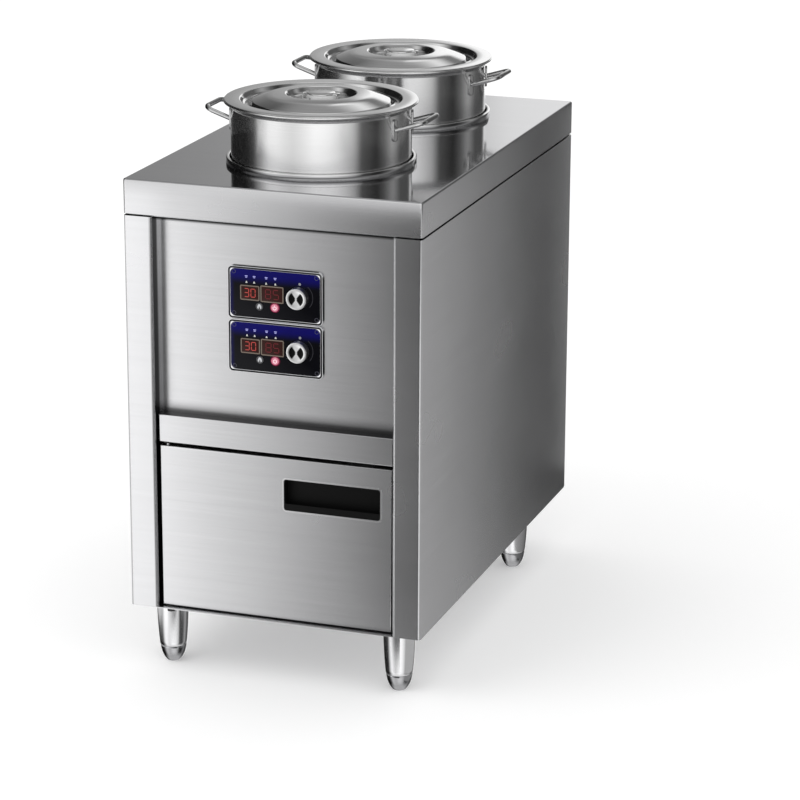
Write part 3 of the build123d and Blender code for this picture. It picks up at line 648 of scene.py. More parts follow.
class Finish:
    """One material: its Principled shader, and the groups that vary it."""

    def __init__(self, name, color, roughness, metallic=0.0, **plain):
        self.material = bpy.data.materials.new(name)
        self.material.use_nodes = True
        self.tree = self.material.node_tree
        self.shader = self.tree.nodes["Principled BSDF"]
        self.color = (*color[:3], 1.0)
        self.roughness = roughness
        self.tones = []
        self.changes = []
        self.shader.inputs["Base Color"].default_value = self.color
        self.shader.inputs["Roughness"].default_value = roughness
        self.shader.inputs["Metallic"].default_value = metallic
        for title, value in plain.items():
            self.shader.inputs[title.replace("_", " ")].default_value = value
        texture = self.tree.nodes.new("ShaderNodeTexCoord")
        self.place = texture.outputs["Object"]
        self.facing = texture.outputs["Normal"]

    def group(self, maker, **values):
        """A shared group placed in this material."""
        placed_group = self.tree.nodes.new("ShaderNodeGroup")
        placed_group.node_tree = shared_group(maker)
        self.tree.links.new(self.place, placed_group.inputs["Place"])
        if "Facing" in placed_group.inputs:
            self.tree.links.new(self.facing, placed_group.inputs["Facing"])
        for title, value in values.items():
            placed_group.inputs[title].default_value = value
        return placed_group

    def bump(self, height, depth):
        """Relief from a height, so many metres deep."""
        relief = node(self.tree, "ShaderNodeBump", {"Height": height, "Strength": 1.0,
                                                    "Distance": depth})
        self.tree.links.new(relief.outputs["Normal"], self.shader.inputs["Normal"])

    def tint(self, *tones):
        """Multiplies the colour by tones."""
        color = self.color
        for tone in tones:
            color = node(self.tree, "ShaderNodeMix", {0: 1.0, 6: color, 7: tone},
                         data_type="RGBA", blend_type="MULTIPLY").outputs[2]
        self.tree.links.new(color, self.shader.inputs["Base Color"])

    def roughen(self, change):
        """Adds a change to the roughness."""
        total = node(self.tree, "ShaderNodeMath", {0: change, 1: self.roughness},
                     operation="ADD", use_clamp=True).outputs[0]
        self.tree.links.new(total, self.shader.inputs["Roughness"])


def brushed(name, color, roughness, fineness, contrast, marks):
    """Brushed sheet steel."""
    finish = Finish(name, color, roughness, 1.0)
    grain = finish.group(grain_group, Fineness=fineness, Contrast=contrast)
    wiped = finish.group(handling_group, Size=0.18, Amount=marks)
    finish.tint(grain.outputs["Tone"], wiped.outputs["Tone"])
    finish.roughen(wiped.outputs["Change"])
    finish.bump(grain.outputs["Height"], 0.004 * MM)
    return finish.material


def spun(name, color, roughness, axis, fineness, contrast, marks, **plain):
    """Polished round steelware, spun on its own axis."""
    finish = Finish(name, color, roughness, 1.0, **plain)
    rings = finish.group(spun_group, Axis=axis, Fineness=fineness, Contrast=contrast)
    wiped = finish.group(handling_group, Size=0.06, Amount=marks)
    finish.tint(rings.outputs["Tone"], wiped.outputs["Tone"])
    finish.roughen(wiped.outputs["Change"])
    finish.bump(rings.outputs["Height"], 0.003 * MM)
    return finish.material


def plain_metal(name, color, roughness, contrast=0.06, marks=0.05):
    """Small metal parts with faint handling marks."""
    finish = Finish(name, color, roughness, 1.0)
    skin = finish.group(moulded_group, Pebble=1.5 * MM, Contrast=contrast)
    wiped = finish.group(handling_group, Size=0.02, Amount=marks)
    finish.tint(skin.outputs["Tone"])
    finish.roughen(wiped.outputs["Change"])
    return finish.material


def moulded(name, color, roughness, pebble=0.8, depth=0.02, **plain):
    """Moulded plastic with a fine skin."""
    finish = Finish(name, color, roughness, 0.0, **plain)
    skin = finish.group(moulded_group, Pebble=pebble * MM, Contrast=0.12)
    wiped = finish.group(handling_group, Size=0.03, Amount=0.06)
    finish.tint(skin.outputs["Tone"])
    finish.roughen(wiped.outputs["Change"])
    finish.bump(skin.outputs["Height"], depth * MM)
    return finish.material


# Operators: one for each piece or group of like pieces

class StationOperator:
    """What every step shares."""
    bl_options = {"REGISTER", "UNDO"}

    @classmethod
    def poll(cls, context):
        return bool(frame["nodes"])


class STATION_OT_cabinet(StationOperator, bpy.types.Operator):
    """Cleans up the folded sheets of the cabinet and brushes them"""
    bl_idname = "station.cabinet"
    bl_label = "Cabinet sheets"

    def execute(self, context):
        steel = context.scene.station_steel
        worktop = brushed("Satin worktop", steel.worktop_color, steel.worktop_roughness,
                          700.0, 0.10, 0.06)
        panel = brushed("Brushed panel", steel.panel_color, steel.panel_roughness,
                        900.0, 0.10, 0.05)
        placed(faced(dressed_copy("Worktop_sheet", worktop, "worktop", edge=0.4 * MM), panel,
                     lambda face: abs(face.normal.z) < 0.5),
               "cabinet", "worktop_steel", "worktop")
        for source in ("back_panel", "bottom_panel"):
            placed(dressed_copy(source + "_sheet", panel, source), "cabinet", "panel_steel",
                   source)
        apron_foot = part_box("worktop")[0].z
        rail_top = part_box("mid_rail")[1].z
        # Painted shade: the fascia's colour goes near black just under the apron and darkens towards
        # the mid rail's top, where the recess lies in shade.
        fascia_painted_shade = self.shade_painted_steel("Recessed panel", steel, "Z", (
            (apron_foot - 10 * MM, 0.04), (apron_foot - 15 * MM, 1.0)), (
            (rail_top - 1 * MM, 0.35), (rail_top + 22 * MM, 1.0)))
        placed(dressed_copy("control_fascia_sheet", fascia_painted_shade, "control_fascia"), "cabinet",
               "panel_steel", "control_fascia")
        # Painted shade: the mid rail's upward faces are dark, from 0.08 at the front to 0.30 60 mm
        # back, standing in for the shade of the recess.
        ledge_painted_shade = self.shade_painted_steel("Ledge steel", steel, "Y", (
            (cad_low.y + 2 * MM, 0.08), (cad_low.y + 60 * MM, 0.30)))
        placed(faced(dressed_copy("mid_rail_sheet", panel, "mid_rail"), ledge_painted_shade,
                     lambda face: face.normal.z > 0.9), "cabinet", "panel_steel", "mid_rail")
        # Painted shade: the inner return faces of the side panels are near black for 17 mm behind the
        # front and clear by 25 mm, standing in for the shade in the fold.
        jamb_painted_shade = self.shade_painted_steel("Jamb steel", steel, "Y", (
            (cad_low.y + 17 * MM, 0.03), (cad_low.y + 25 * MM, 1.0)))
        for source in ("left_side_panel", "right_side_panel"):
            low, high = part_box(source)
            inner = min(abs(low.x), abs(high.x))
            placed(faced(dressed_copy(source + "_sheet", panel, source), jamb_painted_shade,
                         lambda face: abs(face.normal.x) > 0.9
                         and abs(abs(face.center.x) - inner) < 0.1 * MM),
                   "cabinet", "panel_steel", source)
        placed(dressed_copy("Door_skin_sheet", panel, "door_skin"), "door", "panel_steel",
               "door_skin")
        return {"FINISHED"}

    @staticmethod
    def shade_painted_steel(name, steel, axis, *fades):
        """Brushed steel with painted shade: its colour darkens towards an inner corner, where shade
        falls. Each fade holds two places on the axis and the tones there."""
        finish = Finish(name, steel.panel_color, steel.panel_roughness, 1.0)
        place = node(finish.tree, "ShaderNodeSeparateXYZ", {0: finish.place})
        tones = [node(finish.tree, "ShaderNodeMapRange",
                      {"Value": place.outputs[axis], "From Min": start, "From Max": end,
                       "To Min": shade_tone, "To Max": clear},
                      interpolation_type="SMOOTHSTEP").outputs[0]
                 for (start, shade_tone), (end, clear) in fades]
        grain = finish.group(grain_group, Fineness=900.0, Contrast=0.10)
        wiped = finish.group(handling_group, Size=0.18, Amount=0.05)
        finish.tint(grain.outputs["Tone"], wiped.outputs["Tone"], *tones)
        finish.roughen(wiped.outputs["Change"])
        finish.bump(grain.outputs["Height"], 0.004 * MM)
        return finish.material


def pot_section(pots, height):
    """Half section of a pot: radius and height above its foot."""
    half = pots.wall / 2
    wall = pots.radius - half
    flare = pots.radius + 9.4 * MM
    middle_line = rounded(
        [(0, pots.base + half), (wall, pots.base + half), (wall, height - pots.flare_height),
         (flare - pots.roll, height - pots.roll)],
        [8.0 * MM, 4.0 * MM], 8)
    sheet = thick(middle_line, half)
    count = len(middle_line)
    upper, lower = sheet[:count], sheet[count:]
    bead = arc((flare, height - pots.roll), pots.roll, 150, -150, 20)
    foot = pots.radius - pots.base_inset
    base = [Vector((foot - 1 * MM, pots.base, 0)), Vector((foot, pots.base - 1 * MM, 0)),
            Vector((foot, 1 * MM, 0)), Vector((foot - 1 * MM, 0, 0)), Vector((0, 0, 0))]
    outer = [point for point in lower if point.x > foot or point.y > pots.base + pots.wall]
    return upper[:-1] + bead + outer + base


class STATION_OT_pots(StationOperator, bpy.types.Operator):
    """Turns the two pots, bends their handles and welds on the spades"""
    bl_idname = "station.pots"
    bl_label = "Pots and handles"

    def execute(self, context):
        pots = context.scene.station_pots
        steel = context.scene.station_steel
        for row in ROWS:
            low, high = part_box(f"{row}_pot")
            axis = middle(f"{row}_pot")
            seat = Vector((axis.x, axis.y, low.z))
            finish = spun(f"Polished {row} pot", steel.pot_color, steel.pot_roughness, axis,
                          1500.0, 0.08, 0.04, Anisotropic=0.9, Anisotropic_Rotation=0.25)
            pot = turned(f"{row}_pot_shell", pot_section(pots, high.z - low.z), finish,
                         pots.segments)
            placed(moved(pot, Matrix.Translation(seat)), f"{row}_pot_set", "pot_steel",
                   f"{row}_pot")
            bent = plain_metal(f"Bent {row} rod", (0.56, 0.56, 0.56), 0.13)
            handles = joined(f"{row}_pot_side_handles", [
                piece for side in (-1, 1) for piece in self.handle(pots, bent, side)])
            rim = Vector((axis.x, axis.y, high.z))
            placed(moved(handles, Matrix.Translation(rim)), f"{row}_pot_set", "pot_steel",
                   f"{row}_pot_handles")
        return {"FINISHED"}

    def handle(self, pots, finish, side):
        """The rod and the two spades of one handle, round the pot's axis and down from its rim."""
        span, tip_span = 41.0 * MM, 37.0 * MM
        root_z, tip_z = -33.0 * MM, -19.0 * MM
        root_x = math.sqrt(pots.radius ** 2 - span ** 2) + 0.3 * MM
        tip_x = pots.radius + 39.0 * MM
        path = rounded([(root_x, -span, root_z), (tip_x, -tip_span, tip_z),
                        (tip_x, tip_span, tip_z), (root_x, span, root_z)],
                       [16.0 * MM, 16.0 * MM], 12)
        bar = rod("rod", path, pots.rod, finish)
        pieces = [bar]
        for end in (-1, 1):
            angle = math.asin(end * span / pots.radius)
            pieces.append(wrapped_spade(finish, pots.radius, angle, root_z, 13.0 * MM,
                                        35.0 * MM, 2.4 * MM))
        if side < 0:
            for piece in pieces:
                moved(piece, Matrix.Rotation(math.pi, 4, "Z"))
        return pieces


def stadium(width, height, steps=8):
    """An upright stadium outline about the origin."""
    radius = width / 2
    straight = height / 2 - radius
    return (arc((0, straight), radius, 0, 180, steps)
            + arc((0, -straight), radius, 180, 360, steps))


def wrapped_spade(material, radius, angle, height, width, length, thickness):
    """A flattened spade that lies round the pot's wall, with a soft edge."""
    levels = ((0.0, 0.0), (0.0, 0.6), (0.03, 0.85), (0.1, 0.97), (0.2, 1.0), (0.6, 1.0))
    mesh = bmesh.new()
    rings = []
    for inset, proud in levels:
        shrink = inset * width
        ring = []
        for point in stadium(width - shrink, length - shrink):
            turn = angle + point.x / radius
            reach_out = radius + 0.05 * MM + proud * thickness
            ring.append(mesh.verts.new((reach_out * math.cos(turn), reach_out * math.sin(turn),
                                        height + point.y)))
        rings.append(ring)
    skin_rings(mesh, rings)
    mesh.faces.new(rings[0])
    mesh.faces.new(rings[-1])
    return finished_mesh("spade", mesh, material)


def skin_rings(mesh, rings, closed=False):
    """Quads between successive rings of equal length."""
    pairs = list(zip(rings, rings[1:]))
    if closed:
        pairs.append((rings[-1], rings[0]))
    for first, second in pairs:
        for index in range(len(first)):
            after = (index + 1) % len(first)
            mesh.faces.new((first[index], first[after], second[after], second[index]))


def finished_mesh(name, mesh, material):
    """An object from a bmesh, smooth and facing outwards."""
    bmesh.ops.recalc_face_normals(mesh, faces=mesh.faces)
    piece = bpy.data.objects.new(name, bpy.data.meshes.new(name))
    mesh.to_mesh(piece.data)
    mesh.free()
    piece.data.polygons.foreach_set("use_smooth", [True] * len(piece.data.polygons))
    piece.data.materials.append(material)
    bpy.context.scene.collection.objects.link(piece)
    return piece


def lid_section(pots):
    """Half section of a lid: radius and height above the pot's rim."""
    half = pots.lid_sheet / 2
    ring = 0.3 * MM + half
    edge = pots.radius + 9.4 * MM
    points = [(0, -3.0), (49.0, -3.0), (55.0, 8.0), (81.0, 5.6), (107.0, -3.0),
              (111.5, -9.0), (121.5, -9.0), (126.0, 0.0)]
    middle_line = rounded([(radius * MM, ring + height * MM) for radius, height in points]
                          + [(edge, ring)],
                          [radius * MM for radius in (9, 3, 60, 2, 6, 6, 2)], 8)
    sheet = thick(middle_line, half)
    count = len(middle_line)
    return sheet[:count - 1] + arc((edge - half, ring), half, 90, -90, 8) + sheet[count + 1:]


def strap_width(x, plate, waist, end):
    """Width of the strap at a distance along it from its middle."""
    if abs(x) < math.sqrt(plate ** 2 - (waist / 2) ** 2):
        return 2 * math.sqrt(plate ** 2 - x ** 2)
    if abs(x) > 26.25 * MM:
        return end
    return waist


class STATION_OT_lids(StationOperator, bpy.types.Operator):
    """Spins the two lids and stands a strap handle in each dish"""
    bl_idname = "station.lids"
    bl_label = "Lids and straps"

    def execute(self, context):
        pots = context.scene.station_pots
        steel = context.scene.station_steel
        for row in ROWS:
            axis = middle(f"{row}_lid")
            rim = Vector((axis.x, axis.y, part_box(f"{row}_pot")[1].z))
            finish = spun(f"Polished {row} lid", steel.pot_color, 0.10, axis,
                          1500.0, 0.10, 0.05)
            sheet = turned("sheet", lid_section(pots), finish, pots.segments)
            lip_outer = pots.radius - pots.wall - 2.4 * MM
            lip_inner = lip_outer - pots.lid_sheet
            top = 0.7 * MM
            lip = turned("lip", [(lip_inner, top), (lip_outer, top), (lip_outer, -7.0 * MM),
                                 (lip_inner, -7.0 * MM)], finish, pots.segments)
            whole = joined(f"{row}_lid_shell", [sheet, lip])
            placed(moved(whole, Matrix.Translation(rim)), f"{row}_lid_set", "pot_steel",
                   f"{row}_lid")
            strap = self.strap(f"{row}_lid_strap", pots, finish)
            placed(moved(strap, Matrix.Translation(rim)), f"{row}_lid_set", "pot_steel",
                   f"{row}_lid_handle")
        return {"FINISHED"}

    def strap(self, name, pots, finish):
        """A bent strap with a wide round middle, its toes in the dish."""
        half, plate, waist, end = 29.0 * MM, 22.0 * MM, 11.0 * MM, 15.0 * MM
        floor = (0.3 + 0.8 - 3.0) * MM
        thickness = pots.strap / 2
        low, top = floor + 0.6 * MM, floor + 11.5 * MM - thickness
        side_x = half - thickness
        path = rounded([(-18.0 * MM, low), (-side_x, low), (-side_x, top), (side_x, top),
                        (side_x, low), (18.0 * MM, low)],
                       [1.4 * MM, 2.4 * MM, 2.4 * MM, 1.4 * MM], 8)
        spread = []
        for first, second in zip(path, path[1:]):
            count = max(1, math.ceil((second - first).length / (0.9 * MM)))
            spread += [first.lerp(second, step / count) for step in range(count)]
        spread.append(path[-1])
        mesh = bmesh.new()
        rings = []
        for index, point in enumerate(spread):
            ahead = spread[min(index + 1, len(spread) - 1)]
            behind = spread[max(index - 1, 0)]
            along = (ahead - behind).normalized()
            up = Vector((-along.y, along.x, 0))
            on_top = point.y > top - 0.1 * MM
            width = strap_width(point.x, plate, waist, end) if on_top else end
            rise = min(1.0, (point.y - low) / (2 * MM))
            depth = (0.5 + 0.5 * rise) * thickness
            ring = []
            for across, lift in self.section(width / 2, depth):
                place = point + up * lift
                ring.append(mesh.verts.new((place.x, across, place.y)))
            rings.append(ring)
        skin_rings(mesh, rings)
        mesh.faces.new(rings[0])
        mesh.faces.new(rings[-1])
        return finished_mesh(name, mesh, finish)

    @staticmethod
    def section(half_width, half_depth):
        """A flat strip's section with rounded edges."""
        soft = min(0.9 * half_depth, 0.9 * MM)
        corners = ((half_width - soft, half_depth - soft, 0),
                   (-half_width + soft, half_depth - soft, 90),
                   (-half_width + soft, -half_depth + soft, 180),
                   (half_width - soft, -half_depth + soft, 270))
        return [(point.x, point.y) for x, z, start in corners
                for point in arc((x, z), soft, start, start + 90, 3)]


class STATION_OT_wells(StationOperator, bpy.types.Operator):
    """Turns the raised collars and dresses the wells, the glass and the coils"""
    bl_idname = "station.wells"
    bl_label = "Wells and collars"

    def execute(self, context):
        steel = context.scene.station_steel
        for row in ROWS:
            low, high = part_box(f"{row}_well_collar")
            axis = middle(f"{row}_well_collar")
            outer = (high.x - low.x) / 2
            height = high.z - low.z
            inner = outer - 5.2 * MM
            soft = 1.2 * MM
            finish = spun(f"Satin {row} collar", steel.pot_color, steel.worktop_roughness, axis,
                          900.0, 0.08, 0.05)
            outline = ([Vector((inner, 1.0 * MM, 0))]
                       + arc((inner + soft, height - soft), soft, 180, 90, 5)
                       + arc((outer - soft, height - soft), soft, 90, 0, 5)
                       + [Vector((outer, 0, 0)), Vector((outer - 0.9 * MM, 0, 0)),
                          Vector((outer - 0.9 * MM, 1.0 * MM, 0))])
            collar = turned(f"{row}_raised_collar", outline, finish,
                            context.scene.station_pots.segments)
            base = Vector((axis.x, axis.y, low.z))
            placed(moved(collar, Matrix.Translation(base)), "cabinet", "pot_steel",
                   f"{row}_well_collar")
            paint(finish, f"{row}_well")
        paint(moulded("Black ceramic glass", (0.012, 0.012, 0.014), 0.06, 3.0, 0.001,
                      Coat_Weight=0.6), "hob_glasses")
        paint(plain_metal("Enamelled copper", (0.62, 0.27, 0.13), 0.32), "induction_coils")
        return {"FINISHED"}


def paint(material, *nodes):
    """Gives CAD nodes a finish."""
    for name in nodes:
        slots = frame["nodes"][name].data.materials
        slots.clear()
        slots.append(material)


class STATION_OT_legs(StationOperator, bpy.types.Operator):
    """Turns the tapered leg sleeves and their bullet feet"""
    bl_idname = "station.legs"
    bl_label = "Legs and feet"

    def execute(self, context):
        steel = context.scene.station_steel
        for corner in CORNERS:
            axis = middle(f"{corner}_leg")
            base = Vector((axis.x, axis.y, 0))
            chrome = spun(f"Polished {corner} leg", steel.leg_color, 0.16, axis, 1200.0, 0.06,
                          0.04, Anisotropic=0.9, Anisotropic_Rotation=0.25)
            satin = spun(f"Satin {corner} foot", (0.42, 0.42, 0.43), 0.16, axis, 900.0, 0.12,
                         0.05)
            stand = turned(f"{corner}_leg_sleeve", self.sleeve(), chrome, 72)
            placed(moved(stand, Matrix.Translation(base)), "cabinet", "leg_chrome",
                   f"{corner}_leg")
            foot = turned(f"{corner}_bullet_foot", self.bullet(), satin, 72)
            placed(moved(foot, Matrix.Translation(base)), f"{corner}_glide", "foot_steel",
                   f"{corner}_foot")
        paint(plain_metal("Zinc nut", (0.58, 0.58, 0.57), 0.3), "leg_nuts")
        return {"FINISHED"}

    @staticmethod
    def bow(start, middle_point, end, steps=12):
        """A gentle curve through three points."""
        start, middle_point, end = (Vector((*p, 0)) for p in (start, middle_point, end))
        pull = middle_point * 2 - (start + end) / 2
        return [start.lerp(pull, t).lerp(pull.lerp(end, t), t)
                for t in (step / steps for step in range(steps + 1))]

    def sleeve(self):
        """Half section of a sleeve with its stud and the bore for the foot's stem."""
        top, low = 103.0 * MM, 27.3 * MM
        soft = 0.8 * MM
        bore, bore_top = 8.05 * MM, 72.3 * MM
        side = self.bow((25.4 * MM, top - soft), (24.4 * MM, 65.15 * MM),
                        (21.6 * MM, low + soft))
        return ([Vector((0, bore_top, 0)), Vector((0, top + 16 * MM, 0)),
                 Vector((5 * MM, top + 16 * MM, 0)), Vector((5 * MM, top, 0)),
                 Vector((25.4 * MM - soft, top, 0))] + side
                + [Vector((21.6 * MM - soft, low, 0)), Vector((bore, low, 0)),
                   Vector((bore, bore_top, 0))])

    def bullet(self):
        """Half section of a foot with its stem."""
        height, soft = 27.0 * MM, 1.0 * MM
        curve = self.bow((20.6 * MM, height - soft), (17.55 * MM, 0.42 * height),
                         (10.5 * MM, 0.0), 16)
        return ([Vector((0, height + 40 * MM, 0)), Vector((8.0 * MM, height + 40 * MM, 0)),
                 Vector((8.0 * MM, height, 0)), Vector((20.6 * MM - soft, height, 0))] + curve
                + [Vector((0, 0, 0))])


def round_box(width, height, radius, steps=6):
    """A rounded rectangle in X and Z about the origin."""
    x, z = width / 2 - radius, height / 2 - radius
    points = []
    for corner_x, corner_z, start in ((x, z, 0), (-x, z, 90), (-x, -z, 180), (x, -z, 270)):
        points += [(point.x, point.y)
                   for point in arc((corner_x, corner_z), radius, start, start + 90, steps)]
    return points


def stepped(name, size, radius, levels, material, ring=False, inner=None):
    """A rounded plate or frame from levels of inset and distance in front of its seat.
    The corners shrink with the inset, or towards an inner radius."""
    mesh = bmesh.new()
    rings = []
    deepest = max(inset for inset, _ in levels)
    for inset, proud in levels:
        corner = max(radius - inset, 0.05 * MM)
        if inner is not None:
            corner = radius + (inner - radius) * inset / deepest
        outline = round_box(size[0] - 2 * inset, size[1] - 2 * inset, corner)
        rings.append([mesh.verts.new((x, -proud, z)) for x, z in outline])
    skin_rings(mesh, rings, ring)
    if not ring:
        mesh.faces.new(rings[0])
        mesh.faces.new(rings[-1])
    return finished_mesh(name, mesh, material)


FORWARD = Matrix.Rotation(math.pi / 2, 4, "X")


class STATION_OT_controls(StationOperator, bpy.types.Operator):
    """Frames the two modules, prints their faces, and fits displays, keys and knobs"""
    bl_idname = "station.controls"
    bl_label = "Control modules"

    left_window = (29.0, 21.0, -41.0, 0.6)
    right_window = (35.0, 23.5, -5.0, 1.0)
    label_marks = (-46.6, -33.7, -14.2, 0.2)
    pointer_marks = (-46.3, -33.8, -14.3, 0.5)

    def execute(self, context):
        settings = context.scene.station_controls
        silver = self.silver()
        for module in MODULES:
            dial = middle(f"{module}_dial_knob")
            key = middle(f"{module}_power_key")
            centre = Vector((dial.x - 38.8 * MM, 0, dial.z - 0.7 * MM))
            self.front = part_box("control_faces")[0].y
            self.centre = centre
            self.frame_and_face(module, settings, silver)
            self.displays(module, settings)
            self.marks(module)
            self.keys(module, settings, key)
            self.knob(module, settings)
        paint(moulded("Green lacquered board", (0.03, 0.16, 0.07), 0.35, 2.0, 0.01),
              "control_boards")
        return {"FINISHED"}

    @staticmethod
    def silver():
        """Silvered plastic of the frames."""
        return moulded("Silvered plastic", (0.94, 0.94, 0.97), 0.30, 1.0, 0.004)

    def put(self, piece, x, z, proud, body, slot, *nodes):
        """Places a piece on a module's face."""
        place = Vector((self.centre.x + x * MM, self.front - proud * MM,
                        self.centre.z + z * MM))
        return placed(moved(piece, Matrix.Translation(place)), body, slot, *nodes)

    def frame_and_face(self, module, settings, silver):
        """The bright frame and the face with its window, key and knob openings."""
        size = (153.0 * MM, 82.5 * MM)
        back = -5.0 * MM + 0.6 * MM
        bezel = stepped(f"{module}_bright_frame", size, 7.0 * MM, (
            (0.0, back), (0.0, 0.1 * MM), (0.1 * MM, 0.4 * MM), (0.4 * MM, 0.6 * MM),
            (0.6 * MM, 0.6 * MM), (3.2 * MM, 0.6 * MM), (3.4 * MM, 0.55 * MM),
            (3.55 * MM, 0.4 * MM), (3.6 * MM, 0.1 * MM), (3.6 * MM, back)), silver, ring=True,
            inner=8.5 * MM)
        self.put(bezel, 0, 0, 0, "cabinet", "bezel_silver")
        finish = self.face_finish(module, settings)
        inset = 3.6 * MM + 0.15 * MM
        face = stepped(f"{module}_module_face",
                       (size[0] - 2 * inset, size[1] - 2 * inset), 8.4 * MM,
                       ((0.0, -2.0 * MM), (0.0, -0.3 * MM), (0.1 * MM, -0.1 * MM),
                        (0.3 * MM, 0.0)), finish)
        self.put(face, 0, 0, 0, "cabinet", "face_black", "control_faces")
        for sign_x in (-1, 1):
            for sign_z in (-1, 1):
                notch = self.corner_mark(sign_x, sign_z)
                notch.name = f"{module}_corner_{'l' if sign_x < 0 else 'r'}{'b' if sign_z < 0 else 't'}"
                self.put(notch, 0, 0, 0, "cabinet", "face_black")

    def corner_mark(self, sign_x, sign_z):
        """A thin curved line that marks the face's screw corner."""
        bend = arc((sign_x * 67.0 * MM, sign_z * 32.5 * MM), 3.2 * MM,
                   0, 360, 24)[:-1]
        ink = self.ink("Corner ring ink", (0.10, 0.10, 0.13))
        mesh = bmesh.new()
        rings = []
        for shrink, proud in ((0.0, 0.0), (0.02, 0.08), (0.18, 0.08), (0.2, 0.0)):
            middle_point = Vector((sign_x * 67.0 * MM, sign_z * 32.5 * MM, 0))
            rings.append([mesh.verts.new((p.x, -proud * MM, p.y)) for p in
                          (middle_point + (point - middle_point) * (1 - shrink)
                           for point in bend)])
        skin_rings(mesh, rings, closed=True)
        return finished_mesh("corner", mesh, ink)

    def face_finish(self, module, settings):
        """Black gloss, with a blue band along the top and a faint blue left edge."""
        finish = Finish(f"Printed {module} face", settings.face_color, 0.22, 0.0,
                        Specular_IOR_Level=0.10)
        tree = finish.tree
        place = node(tree, "ShaderNodeSeparateXYZ", {0: finish.place})
        high = sum_up(tree, "SUBTRACT", place.outputs["Z"], self.centre.z)
        left = sum_up(tree, "SUBTRACT", self.centre.x, place.outputs["X"])
        top_share = node(tree, "ShaderNodeMapRange",
                         {"Value": high, "From Min": 13 * MM, "From Max": 30 * MM},
                         interpolation_type="SMOOTHSTEP").outputs[0]
        left_share = node(tree, "ShaderNodeMapRange",
                          {"Value": left, "From Min": 66 * MM, "From Max": 73 * MM,
                           "To Max": 0.55}).outputs[0]
        share = sum_up(tree, "MAXIMUM", top_share, left_share)
        wiped = finish.group(handling_group, Size=0.03, Amount=0.25)
        share = sum_up(tree, "MULTIPLY", share, wiped.outputs["Tone"])
        color = node(tree, "ShaderNodeMix",
                     {0: share, 6: finish.color, 7: (*settings.band_color, 1)},
                     data_type="RGBA").outputs[2]
        tree.links.new(color, finish.shader.inputs["Base Color"])
        finish.roughen(finish.group(handling_group, Size=0.02, Amount=0.03).outputs["Change"])
        return finish.material

    def ink(self, name, color, glow=0.0):
        """Printed ink, made once for each name."""
        known = bpy.data.materials.get(name)
        if known:
            return known
        return moulded(name, color, 0.45, 0.4, 0.001, Emission_Color=(*color, 1.0),
                       Emission_Strength=glow, Specular_IOR_Level=0.15)

    def displays(self, module, settings):
        """Two smoked windows with their frames, and seven-segment digits in each."""
        smoke = self.smoke(settings)
        frame_ink = self.ink("Display frame ink", (0.20, 0.16, 0.13))
        lit = self.ink("Lit segments", tuple(settings.digit_color), 0.35)
        dim = self.ink("Dim segments", (0.11, 0.012, 0.016), 0.3)
        sides = (("left", self.left_window, lit, "30"), ("right", self.right_window, dim, "85"))
        for side, (width, height, x, z), color, digits in sides:
            window = stepped(f"{module}_{side}_window", (width * MM, height * MM), 1.2 * MM,
                             ((0.1 * MM, -11.0 * MM), (0.1 * MM, -0.1 * MM),
                              (0.4 * MM, 0.05 * MM)), smoke)
            self.put(window, x, z, 0, "cabinet", "window_smoke", "display_windows")
            border = stepped(f"{module}_{side}_window_frame",
                             ((width + 2.6) * MM, (height + 2.6) * MM), 2.2 * MM,
                             ((0.0, -0.02 * MM), (0.1 * MM, 0.22 * MM), (1.7 * MM, 0.22 * MM),
                              (1.9 * MM, -0.02 * MM)), frame_ink, ring=True)
            self.put(border, x, z, 0, "cabinet", "window_smoke")
            pieces = []
            for place, digit in enumerate(digits):
                offset = (place - 0.5) * 0.36 * width
                pieces += [moved(bar, Matrix.Translation((offset * MM, 0, 0)))
                           for bar in self.digit(digit, 0.24 * width, 0.60 * height, color)]
            whole = joined(f"{module}_{side}_digits", pieces)
            self.put(whole, x, z, 0.06, "cabinet", "window_smoke")

    SEGMENTS = {"0": "abcdef", "3": "abcdg", "5": "acdfg", "8": "abcdefg"}

    def digit(self, digit, width, height, material):
        """The lit bars of one seven-segment digit."""
        half_w, half_h, bar = width / 2, height / 2, 0.16 * width
        middles = {"a": (0, half_h, True), "g": (0, 0, True), "d": (0, -half_h, True),
                   "b": (half_w, half_h / 2, False), "c": (half_w, -half_h / 2, False),
                   "f": (-half_w, half_h / 2, False), "e": (-half_w, -half_h / 2, False)}
        pieces = []
        for name in self.SEGMENTS[digit]:
            x, z, level = middles[name]
            length = (width if level else half_h) - 1.5 * bar
            tip = length / 2 + bar / 2
            outline = [(tip, 0), (length / 2, bar / 2), (-length / 2, bar / 2), (-tip, 0),
                       (-length / 2, -bar / 2), (length / 2, -bar / 2)]
            if not level:
                outline = [(-down, across) for across, down in outline]
            outline = [((x + across) * MM, (z + up) * MM) for across, up in outline]
            pieces.append(plate("bar", outline, 0.08 * MM, material))
        return pieces

    def smoke(self, settings):
        """Dark red smoked plastic, made once."""
        known = bpy.data.materials.get("Smoked window")
        if known:
            return known
        return moulded("Smoked window", (0.034, 0.012, 0.010), 0.20, 3.0, 0.001,
                       Specular_IOR_Level=0.12)

